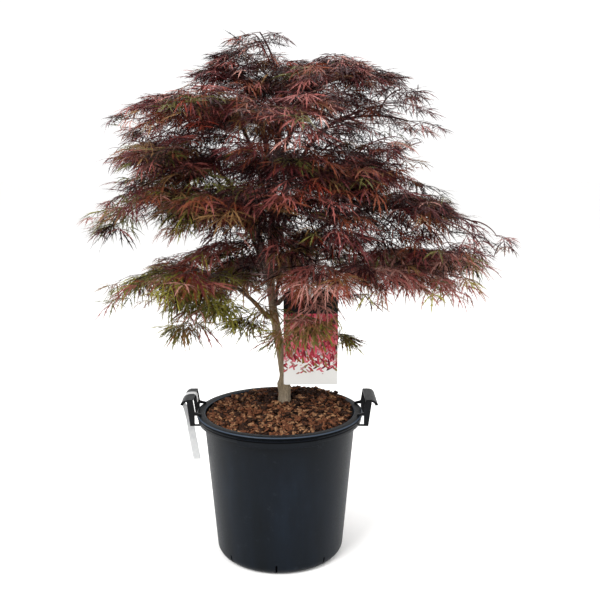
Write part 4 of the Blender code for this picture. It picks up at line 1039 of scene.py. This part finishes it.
def thinnedTwigs(rows):
    # fewer outwards and in the crest, and in openings: where a pattern of lumps about 10 cm across is low
    position = rows[:, :3]
    out, odds = crownShares(position, twig)
    odds *= 1 - (1 - twig["crestShare"]) * easedBetween(twig["crestFrom"], position[:, 2])
    lumps = waves(position, twig["clumpSeed"], count=14, finest=twig["clumps"], span=2.5)
    odds *= 1 - np.interp(out, twig["clumpOut"], twig["openings"]) * easedBetween(twig["clumpEdge"], lumps)
    odds = spotted(odds, position, twig["spots"])
    return rows[np.random.default_rng(twig["seed"] + 2).uniform(0, 1, len(rows)) < odds]


def makeTwigs(carriers, stems):
    rows = thinnedTwigs(growTwigs(carriers))
    boxes = growthBoxes(carriers, stems)[rows[:, 8].astype(int)]
    low, high = boxes[:, 0], boxes[:, 1]
    roots, azimuth, length, steps = rows[:, :3], rows[:, 3], rows[:, 4].copy(), twig["steps"]
    rise, fall, bend = np.radians(rows[:, 5:8]).T
    # a twig shortens until it and its last leaf stay in their space
    for _ in range(3):
        lines = arching(roots, azimuth, length + twig["leafRoom"], rise, fall, bend, steps)
        kept = reachShare(roots, lines[:, -1])
        for step in (3, -1):
            kept = np.minimum(kept, insideShare(roots, lines[:, step], low, high))
        length = np.where(kept < 1, length * np.maximum(kept, 0.3) * 0.95, length)
    lines = arching(roots, azimuth, length, rise, fall, bend, steps)

    # finer twigs part from the twigs to both sides
    draw = np.random.default_rng(twig["seed"] + 1).uniform
    parts, owners = [], []
    for station in twiglet["stations"]:
        for side in (-1, 1):
            chosen = np.flatnonzero(draw(0, 1, len(lines)) < twiglet["share"])
            count, place = len(chosen), station * steps
            index = int(place)
            root = lines[chosen, index] + (lines[chosen, index + 1] - lines[chosen, index]) * (place - index)
            turn = azimuth[chosen] + bend[chosen] * station + side * np.radians(draw(*twiglet["turn"], count))
            size = length[chosen] * draw(*twiglet["length"], count)
            up, down, sway = [np.radians(draw(*twiglet[key], count)) for key in ("rise", "fall", "bend")]
            parts.append(arching(root, turn, size, up, down, -side * sway, twiglet["steps"]))
            owners.append(chosen)
    return lines, np.concatenate(parts), np.concatenate(owners), low, high


def makeTwigPieces(branchlets):
    # slim round twigs about 1 mm to 4 mm thick, each tapering evenly to its tip
    bark = makeBark("mapleTwigBark", 0.5, 1.2, 0.2, (0.0, "#43301f"), (0.35, "#421f1e"), (1.0, "#451a1b"))
    slim = np.array([part["line"][::3] for part in branchlets])
    kinds = [("mapleBranchlets", slim, branchlet["radii"], 6),
             ("mapleTwigs", twigLines, (twig["radius"], twig["radius"] * 0.5), 3),
             ("mapleFineTwigs", twigletLines, (twiglet["radius"], twiglet["radius"] * 0.6), 3)]
    for name, lines, radii, sides in kinds:
        radius = np.repeat(np.linspace(*radii, lines.shape[1])[None], len(lines), axis=0)
        points, quads, caps = tubes(lines, radius, sides)
        newPiece(name, points, [quads, caps], bark, slot="bark", nodes=[stem["name"] for stem in stemList])


branchletList = growBranchlets(boughLines, stemList)
carrierList = [
    {"kind": stem["tier"] if stem["tier"] in burden else "stem", "mass": number, "line": stem["line"]}
    for number, stem in enumerate(stemList)] + branchletList
twigLines, twigletLines, twigletOwner, boxLow, boxHigh = makeTwigs(carrierList, stemList)
makeTwigPieces(branchletList)
print("twigs ready:", len(branchletList), "branchlets,", len(twigLines), "twigs,", len(twigletLines), "finer")


leaf = {
    "seed": 3, "size": (0.044, 0.068), "slope": (-30, 10), "droop": (14, 60),
    "levels": (0.58, 0.78, 1.00, 1.20), "sizeByLevel": (1.12, 1.04, 0.84, 0.72),
    "droopByLevel": (1.10, 1.0, 0.75, 0.60), "stalk": (0.008, 0.018), "stalkWidth": 0.0005,
    "margin": 0.010, "turns": np.radians((-104, -66, -31, 0, 31, 66, 104)),
    "shares": np.array((0.50, 0.76, 0.95, 1.0, 0.95, 0.76, 0.50)), "fullWithin": 0.12, "thinBeyond": 0.36,
    "thinShare": 0.86, "perPiece": 2900,
    # how much the lobes of one leaf differ, in radians, and how leaves turn from their twigs
    "turnSpread": 0.10, "lobeLength": (0.82, 1.12), "slopeSpread": 0.14, "droopSpread": 0.22,
    "leastDroop": 0.2, "twistSpread": 0.40, "endSpreads": (0.25, 0.30), "pairTurn": (0.5, 1.15),
    "spots": (
        (0.08, 0.675, 0.09, 0.04, -0.95, -0.20, 0.15), (0.22, 0.67, 0.12, 0.035, -0.75, -0.12, 0.30),
        (-0.37, 0.67, 0.06, 0.03, -0.8), (-0.26, 0.63, 0.16, 0.06, -0.22, -0.05, 0.40),
        (-0.34, 0.88, 0.12, 0.05, -0.2)),
}


def lobeTemplate():
    # one lobe as (along, aside): a narrow tapering blade with two pairs of forward-pointing teeth
    points = [(0.0, -0.010), (0.0, 0.010), (0.42, -0.023), (0.42, 0.023), (0.78, -0.016), (0.78, 0.016),
              (1.0, 0.0)]
    quads = [(0, 2, 3, 1), (2, 4, 5, 3)]
    tris = [(4, 6, 5)]
    for base, reach, width in ((0.20, 0.26, 0.082), (0.48, 0.24, 0.080)):
        first = len(points)
        points += [(base, 0.0), (base + 0.10, 0.0), (base + reach, -width), (base + reach + 0.03, width)]
        tris += [(first, first + 2, first + 1), (first, first + 1, first + 3)]
    return np.array(points), np.array(quads), np.array(tris)


def leafMesh(centres, roots, azimuths, sizes, slopes, droops, source):
    # every lobe bends down along an arc: x(t) = (sin s - sin(s - d t)) / d, z(t) = (cos(s - d t) - cos s) / d
    template, quads, tris = lobeTemplate()
    along, aside = template[:, 0], template[:, 1]
    count, lobes = len(centres), len(leaf["turns"])
    turn = azimuths[:, None] + leaf["turns"] + source.normal(0, leaf["turnSpread"], (count, lobes))
    length = sizes[:, None] * leaf["shares"] * source.uniform(*leaf["lobeLength"], (count, lobes))
    slope = slopes[:, None] * np.cos(leaf["turns"] * 0.8)
    slope = slope + source.normal(0, leaf["slopeSpread"], (count, lobes))
    droop = droops[:, None] + source.normal(0, leaf["droopSpread"], (count, lobes))
    droop = np.maximum(leaf["leastDroop"], droop)
    twist = source.normal(0, leaf["twistSpread"], (count, lobes))
    bent = slope[..., None] - droop[..., None] * along
    ahead = (np.sin(slope)[..., None] - np.sin(bent)) / droop[..., None]
    rise = (np.cos(bent) - np.cos(slope)[..., None]) / droop[..., None]
    way = heading(turn)[:, :, None, :]
    left = xyz(-np.sin(turn), np.cos(turn), 0.0)[:, :, None, :]
    up = np.array((0.0, 0.0, 1.0))
    side = left * np.cos(twist)[..., None, None] + up * np.sin(twist)[..., None, None]
    shape = way * ahead[..., None] + up * rise[..., None] + side * aside[:, None]
    points = (centres[:, None, None, :] + shape * length[..., None, None]).reshape(count, -1, 3)
    # the stalk is a thin ribbon from the twig
    flat = xyz(-np.sin(azimuths), np.cos(azimuths), 0.0) * leaf["stalkWidth"]
    ribbon = np.stack((roots - flat, centres - flat, centres + flat, roots + flat), axis=1)
    points = np.concatenate((points, ribbon), axis=1)
    size = len(template)
    quads = np.concatenate((copies(quads, lobes, size), [lobes * size + np.arange(4)]))
    return points, quads, copies(tris, lobes, size)


def leafPlaces(source):
    # leaves end each twig and finer twig, and stand in pairs along the twigs; each spray keeps its own number
    every, finer = np.arange(len(twigLines)), np.arange(len(twigletLines))
    ends = [twigLines[:, -1], twigletLines[:, -1]]
    ways = [twigLines[:, -1] - twigLines[:, -2], twigletLines[:, -1] - twigletLines[:, -2]]
    counts = (len(every), len(finer))
    spreads = [source.normal(0, spread, count) for spread, count in zip(leaf["endSpreads"], counts)]
    owners, sprays = [every, twigletOwner], [every, len(every) + finer]
    for index in (2, 4):
        for side in (-1, 1):
            ends.append(twigLines[:, index])
            ways.append(twigLines[:, index] - twigLines[:, index - 1])
            spreads.append(side * source.uniform(*leaf["pairTurn"], len(every)))
            owners.append(every)
            sprays.append(every)
    ways = np.concatenate(ways)
    azimuths = np.arctan2(ways[:, 1], ways[:, 0]) + np.concatenate(spreads)
    return np.concatenate(ends), azimuths, np.concatenate(owners), np.concatenate(sprays)


# the shaded wine is painted shade, and the maroon partly the leaves' own dark red and partly painted shade;
# the rosewood and dusty rose are lighter, pinker copies of the wine, dealt as painted light; russet, bronze,
# olive, lime and scarlet are the leaves' own tints
leafColours = [
    ("leavesShadedWine", "#130605", "wine_leaf"),
    ("leavesMaroon", "#2c1113", "wine_leaf"),
    ("leavesWine", "#4a1d1e", "wine_leaf"),
    ("leavesRusset", "#633220", "bronze_leaf"),
    ("leavesLitRosewood", "#7a423d", "wine_leaf"),
    ("leavesLitDustyRose", "#996c62", "wine_leaf"),
    ("leavesBronze", "#6f5233", "bronze_leaf"),
    ("leavesOlive", "#545128", "green_leaf"),
    ("leavesLime", "#827d34", "green_leaf"),
    ("leavesScarlet", "#7c3022", "wine_leaf"),
]


# smooth bumps that shift the colours, some to the leaves' own greens, bronzes and reds and some to painted
# light and painted shade: middle and size
tints = {
    "lowLeft": ((-0.25, -0.05, 0.62), (0.23, 0.35, 0.085)),
    "nearTrunk": ((0.03, -0.12, 0.57), (0.18, 0.20, 0.050)),
    "left": ((-0.27, 0.0, 0.84), (0.22, 0.40, 0.11)),
    "beforeTag": ((0.13, -0.12, 0.55), (0.10, 0.22, 0.035)),
    "heart": ((-0.01, -0.22, 0.715), (0.24, 0.30, 0.075)),
    "lowRight": ((0.36, -0.05, 0.66), (0.24, 0.40, 0.07)),
    "shadedCore": ((0.04, -0.15, 0.90), (0.16, 0.40, 0.10)),
    "glow": ((-0.17, -0.10, 1.03), (0.12, 0.40, 0.05)),
}


def dealColours(position, source):
    # each spray draws one colour, in the order of leafColours; the odds change smoothly over the crown, with
    # painted shade in its interior and core and painted light low down, at the heart and on the right and
    # left
    axis = trunkAxis(position[:, 2])
    out = np.hypot(position[:, 0] - axis[:, 0], position[:, 1] - axis[:, 1])
    inner = np.exp(-(out / 0.19) ** 2)
    patches = waves(position, 31, count=12, finest=60.0)
    shares = [bump(position, *tint) for tint in tints.values()]
    lowLeft, nearTrunk, left, beforeTag, heart, lowRight, shadedCore, glow = shares
    lower = 1 - easedBetween((0.64, 0.80), position[:, 2])
    high = easedBetween((0.80, 1.10), position[:, 2])
    # dim scales the dark classes down where lighter colours are dealt: the own greens and bronzes near the
    # trunk, before the tag and low on the left, and painted light low down, at the heart, on the right and on
    # the left
    dim = 1 - 0.85 * nearTrunk - 0.60 * lowLeft - 0.70 * heart - 0.75 * lowRight - 0.50 * lower - 0.55 * left
    dim = np.maximum(0.1, dim - beforeTag)
    litRosewood = 0.13 + 0.08 * high + 0.10 * patches + 0.28 * heart + 0.34 * lowRight
    litRosewood += 0.14 * lower + 0.08 * left
    litRose = 0.04 + 0.01 * high + 0.05 * patches + 0.18 * heart + 0.80 * lowRight + 0.14 * lower + 0.10 * left
    bronze = 0.10 + 0.55 * lowLeft + 0.22 * left + 0.30 * beforeTag + 0.26 * nearTrunk + 0.12 * heart
    olive = 0.05 + 0.85 * lowLeft + 0.30 * beforeTag + 0.40 * nearTrunk + 0.28 * left
    # the first two rows rise in the crown's interior and core as painted shade; the rosewood and dusty rose
    # rows rise low down, at the heart and on the right as painted light
    odds = np.stack((
        dim * (0.26 + 0.70 * inner * (1 - 0.6 * lower) - 0.10 * patches - 0.20 * high) + 0.45 * shadedCore,
        dim * (0.34 + 0.10 * inner) + 0.20 * shadedCore,
        dim * (0.28 + 0.08 * patches) + 0.28 * high,
        (0.22 + 0.28 * heart + 0.06 * lowRight) * (1 - 0.85 * lowLeft) * (1 - 0.55 * left),
        litRosewood * (1 - 0.5 * lowLeft) * (1 - 0.7 * beforeTag),
        litRose * (1 - 0.3 * lowLeft) * (1 - 0.8 * beforeTag),
        bronze + 0.18 * lowRight + 0.06 * lower,
        olive + 0.04 * lowRight + 0.05 * lower,
        0.90 * lowLeft + 0.60 * beforeTag + 0.75 * nearTrunk + 0.09 * left + 0.05 * lowRight,
        0.02 + 0.20 * heart ** 2 + 0.02 * high + 0.04 * lowRight + 0.12 * glow,
    ), axis=1)
    odds = np.cumsum(np.maximum(odds, 0), axis=1)
    return (source.uniform(0, 1, len(position))[:, None] * odds[:, -1:] > odds).sum(axis=1)


def leafMaterial(name, code):
    # thin soft leaf: plain colour, a faint sheen and a slightly uneven surface about 3 mm across
    blade, place = startMaterial(name)
    veins = addNode(blade, "TexNoise", {"Vector": place, "Scale": 300.0, "Detail": 2.0})
    finish = addNode(blade, "BsdfPrincipled", {
        "Base Color": code, "Roughness": 0.50, "IOR": 1.42, "Specular IOR Level": 0.15,
        "Normal": addNode(blade, "Bump", {"Height": veins, "Strength": 0.3, "Distance": 0.0006})})
    addNode(blade, "OutputMaterial", {"Surface": finish})
    return blade


def pickLeaves(source):
    # a leaf shrinks to stay in its space and is dropped below half its size; fewer stand far out
    roots, azimuths, owners, sprays = leafPlaces(source)
    count, draw = len(roots), source.uniform
    sizes = draw(*leaf["size"], count) * np.interp(roots[:, 2], leaf["levels"], leaf["sizeByLevel"])
    stalk = draw(*leaf["stalk"], count)[:, None]
    centres = roots + heading(azimuths) * stalk * 0.9 - np.array((0, 0, 0.35)) * stalk
    low, high = boxLow[owners] - leaf["margin"], boxHigh[owners] + leaf["margin"]
    kept = np.ones(count)
    for turn in (-1.0, 0.0, 1.0):
        tip = centres + sizes[:, None] * (0.80 * heading(azimuths + turn) - np.array((0, 0, 0.50)))
        kept = np.minimum(kept, insideShare(centres, tip, low, high))
        kept = np.minimum(kept, reachShare(centres, tip + sizes[:, None] * np.array((0, 0, 0.25))))
    odds = spotted(crownShares(centres, leaf)[1], centres, leaf["spots"])
    order = np.flatnonzero((kept > 0.5) & (draw(0, 1, count) < odds))
    slopes = np.radians(draw(*leaf["slope"], count))
    droops = np.radians(draw(*leaf["droop"], count))
    droops *= np.interp(roots[:, 2], leaf["levels"], leaf["droopByLevel"])
    chosen = [values[order] for values in (centres, roots, azimuths, sizes * kept, slopes, droops)]
    return *leafMesh(*chosen, source), sprays[order]


def clearOfTag(points):
    # false for a leaf with points on both sides of the tag, or within a millimetre of it
    x, y, low = tag["foot"]
    aside, past, height = np.abs(points[..., 0] - x), points[..., 1] - y, points[..., 2] - low
    beside = (aside < tag["width"] / 2 + 0.002) & (height > 0) & (height < tag["height"] + 0.004)
    return ~((beside & (past < 0.0015)).any(axis=1) & (beside & (past > -0.0015)).any(axis=1))


def clearOfTrunk(points):
    # false for a leaf with a point inside the trunk
    axis = trunkAxis(points[..., 2])
    away = np.hypot(points[..., 0] - axis[..., 0], points[..., 1] - axis[..., 1])
    return (away > trunkRadius(points[..., 2]) + 0.0005).all(axis=1)


def makeLeaves():
    source = np.random.default_rng(leaf["seed"])
    points, quads, tris, sprays = pickLeaves(source)
    free = clearOfTag(points) & clearOfTrunk(points)
    points, sprays = points[free], sprays[free]
    middles = np.concatenate((twigLines[:, 3], twigletLines[:, 2]))
    kinds = dealColours(middles, source)[sprays]
    size = points.shape[1]
    for kind, (name, code, slot) in enumerate(leafColours):
        chosen = np.flatnonzero(kinds == kind)
        material = leafMaterial(name, code)
        for part, first in enumerate(range(0, len(chosen), leaf["perPiece"])):
            some = chosen[first:first + leaf["perPiece"]]
            groups = [copies(faces, len(some), size) for faces in (quads, tris)]
            newPiece(f"{name}{part + 1}", points[some].reshape(-1, 3), groups, material, slot=slot)
    return len(points)


tag = {"width": 0.127, "height": 0.224, "foot": (0.074, -0.0335, 0.423), "thickness": 0.0010, "corner": 0.004}


def makeTagPrint():
    # glossy printed card: dark head band, then small leaves in reds and pinks that thin out to the pale foot
    card, place = startMaterial("printedCard")
    axes = addNode(card, "SeparateXYZ", {"Vector": place})
    height = (axes, "Z")
    uneven = addNode(card, "TexNoise", {"Vector": place, "Scale": 60.0, "Detail": 3.0})
    ragged = addNode(card, "Math", {0: uneven, 1: 0.05}, operation="MULTIPLY")
    level = addNode(card, "Math", {0: height, 1: ragged}, operation="ADD")
    ground = addNode(card, "MapRange", {"Value": level, "From Min": 0.508, "From Max": 0.540})
    picture = addNode(card, "ValToRGB", {"Fac": ground}, ((0.0, "#cbcac7"), (1.0, "#2e1013")))
    fade = addNode(card, "MapRange", {"Value": height, "From Min": 0.448, "From Max": 0.492})
    # four layers of narrow leaves 6 to 9 mm long, each leaning its own way
    for lean, scale in ((1.0, 200.0), (0.45, 185.0), (-0.85, 175.0), (-0.25, 160.0)):
        turned = addNode(card, "Mapping", {
            "Vector": place, "Rotation": (0, lean, 0), "Scale": (1.0, 1.0, 3.2)}, vector_type="TEXTURE")
        blades = addNode(card, "TexVoronoi", {"Vector": turned, "Scale": scale})
        draw = addNode(card, "SeparateColor", {"Color": (blades, "Color")})
        tint = addNode(card, "ValToRGB", {"Fac": (draw, "Red")}, (
            (0.0, "#4c1019"), (0.25, "#8f2431"), (0.45, "#b03d4f"), (0.60, "#b96a74"), (0.72, "#7a261d"),
            (0.85, "#6b5a24"), (1.0, "#a5747a")))
        kept = addNode(card, "Math", {0: fade, 1: (draw, "Green")}, operation="GREATER_THAN")
        inside = addNode(card, "MapRange", {"Value": blades, "From Min": 0.50, "From Max": 0.42})
        shown = addNode(card, "Math", {0: inside, 1: kept}, operation="MULTIPLY")
        picture = addNode(card, "Mix", {"Factor": shown, "A": picture, "B": tint}, data_type="RGBA")
    side = addNode(card, "MapRange", {"Value": (axes, "X"), "From Min": 0.085, "From Max": 0.125})
    head = addNode(card, "ValToRGB", {"Fac": side}, ((0.0, "#060203"), (0.6, "#020603"), (1.0, "#030a05")))
    above = addNode(card, "Math", {0: height, 1: 0.594}, operation="GREATER_THAN")
    printed = addNode(card, "Mix", {"Factor": above, "A": picture, "B": head}, data_type="RGBA")
    finish = addNode(card, "BsdfPrincipled", {
        "Base Color": printed, "Roughness": 0.30, "IOR": 1.50, "Specular IOR Level": 0.10})
    addNode(card, "OutputMaterial", {"Surface": finish})
    return card


def makeTag():
    # a rectangle with rounded corners, drawn round from the upper right one
    x, y, low = tag["foot"]
    corner, thickness = tag["corner"], tag["thickness"]
    half, top, foot = tag["width"] / 2 - corner, low + tag["height"] - corner, low + corner
    outline = []
    for number, middle in enumerate(((x + half, top), (x - half, top), (x - half, foot), (x + half, foot))):
        outline += list(arc(*middle, corner, np.linspace(90 * number, 90 * number + 90, 6)))
    points, groups = gathered([extruded(outline, y - thickness / 2, y + thickness / 2)])
    card = newPiece("printedTag", points, groups, makeTagPrint(), slot="tag_card", nodes=("plant_tag",))
    closeMesh(card, 30)


def whitePlastic():
    # white polyethylene strip: satin, faintly creased every centimetre or so
    plastic, place = startMaterial("whitePolyethylene")
    creases = addNode(plastic, "TexNoise", {"Vector": place, "Scale": 85.0, "Detail": 4.0})
    finish = addNode(plastic, "BsdfPrincipled", {
        "Base Color": addNode(plastic, "ValToRGB", {"Fac": creases}, ((0.3, "#b6b7b9"), (0.7, "#c9cac9"))),
        "Normal": addNode(plastic, "Bump", {"Height": creases, "Strength": 0.25, "Distance": 0.0008}),
        "Roughness": 0.42, "IOR": 1.51})
    addNode(plastic, "OutputMaterial", {"Surface": finish})
    return plastic


def carried(name, node, plastic, sizes, centres, widthways):
    # a flat section along a smoothed path: its centre, half the width aside and half the thickness out
    centres, widthways = np.asarray(centres, float), np.asarray(widthways, float)
    knots = np.concatenate(((0,), np.cumsum(np.linalg.norm(np.diff(centres, axis=0), axis=1))))
    fine = np.linspace(0, knots[-1], 90)
    path = np.stack([np.interp(fine, knots, centres[:, k]) for k in range(3)], axis=1)
    wide = unit(np.stack([np.interp(fine, knots, widthways[:, k]) for k in range(3)], axis=1))
    # six passes of a 1-2-1 average round off the corners
    for _ in range(6):
        path[1:-1] = (path[:-2] + 2 * path[1:-1] + path[2:]) / 4
        wide[1:-1] = unit(wide[:-2] + 2 * wide[1:-1] + wide[2:])
    face = unit(np.cross(unit(np.gradient(path, axis=0)), wide))
    across, through = wide * sizes["width"] / 2, face * sizes["thickness"] / 2
    points = np.stack((path - across - through, path + across - through, path + across + through,
                       path - across + through), axis=1).reshape(-1, 3)
    ends = np.array([(3, 2, 1, 0), (len(fine) * 4 - 4 + np.arange(4))])
    quads = gridQuads(len(fine), 4, True)
    closeMesh(newPiece(name, points, [quads, ends], plastic, slot="white_strip", nodes=(node,)), 35)


strip = {
    "width": 0.0185, "thickness": 0.0006, "place": 0.008, "stand": 0.0013,
    # distance out from the leg's inner side, drop below the handle's top, degrees turned frontward
    "start": ((-0.0045, 0.020, 0), (-0.0035, 0.006, 0), (-0.0025, -0.0012, 0), (0.0025, -0.0014, 0)),
    "hang": ((0.033, 0.020, 10), (0.024, 0.040, 30), (0.016, 0.065, 55), (0.012, 0.095, 70),
             (0.008, 0.120, 76), (0.004, 0.145, 78), (0.0, 0.168, 80)),
}
strap = {"bough": 1, "width": 0.010, "thickness": 0.0008, "loop": 0.0110, "slack": 0.0022, "lap": 0.014}


def makeStrips():
    plastic = whitePlastic()
    # the label goes up inside the handle's grip, over its curl and down outside, twisting as it hangs
    inner, outer = handle["sides"][1]
    curl = arc(outer, handle["top"] - handle["bend"], handle["bend"] + strip["stand"], (90, 65, 40, 15))
    start, hang = [np.array(strip[key]) * (1, -1, 1) + (inner, handle["top"], 0) for key in ("start", "hang")]
    route = np.array([*start, *((*point, 0) for point in curl), *hang])
    centres = xyz(-route[:, 0], strip["place"], route[:, 1])
    twist = np.radians(route[:, 2])
    widthways = xyz(np.sin(twist), np.cos(twist), 0.0)
    carried("whiteStrip", "strip_label", plastic, strip, centres, widthways)

    # the strap holds both faces of the tag and loops over a bough
    x, y, low = tag["foot"]
    high = low + tag["height"]
    bough = boughLines[strap["bough"]]
    over = np.array([np.interp(x, bough[:, 0], bough[:, k]) for k in (1, 2)])
    over[1] += limbs["boughRadii"][0] + strap["slack"] - strap["loop"]
    stand = tag["thickness"] / 2 + strap["thickness"] / 2
    front, back = [[(y + side, high - strap["lap"]), (y + side, high + 0.001)] for side in (-stand, stand)]
    path = [*front, *arc(*over, strap["loop"], np.linspace(180, 0, 13)), *back[::-1]]
    centres = [(x, a, b) for a, b in path]
    carried("tagStrap", "tag_strap", plastic, strap, centres, [(1, 0, 0)] * len(path))


makeTag()
makeStrips()
print("tag and strips ready")
print("leaves ready:", makeLeaves())
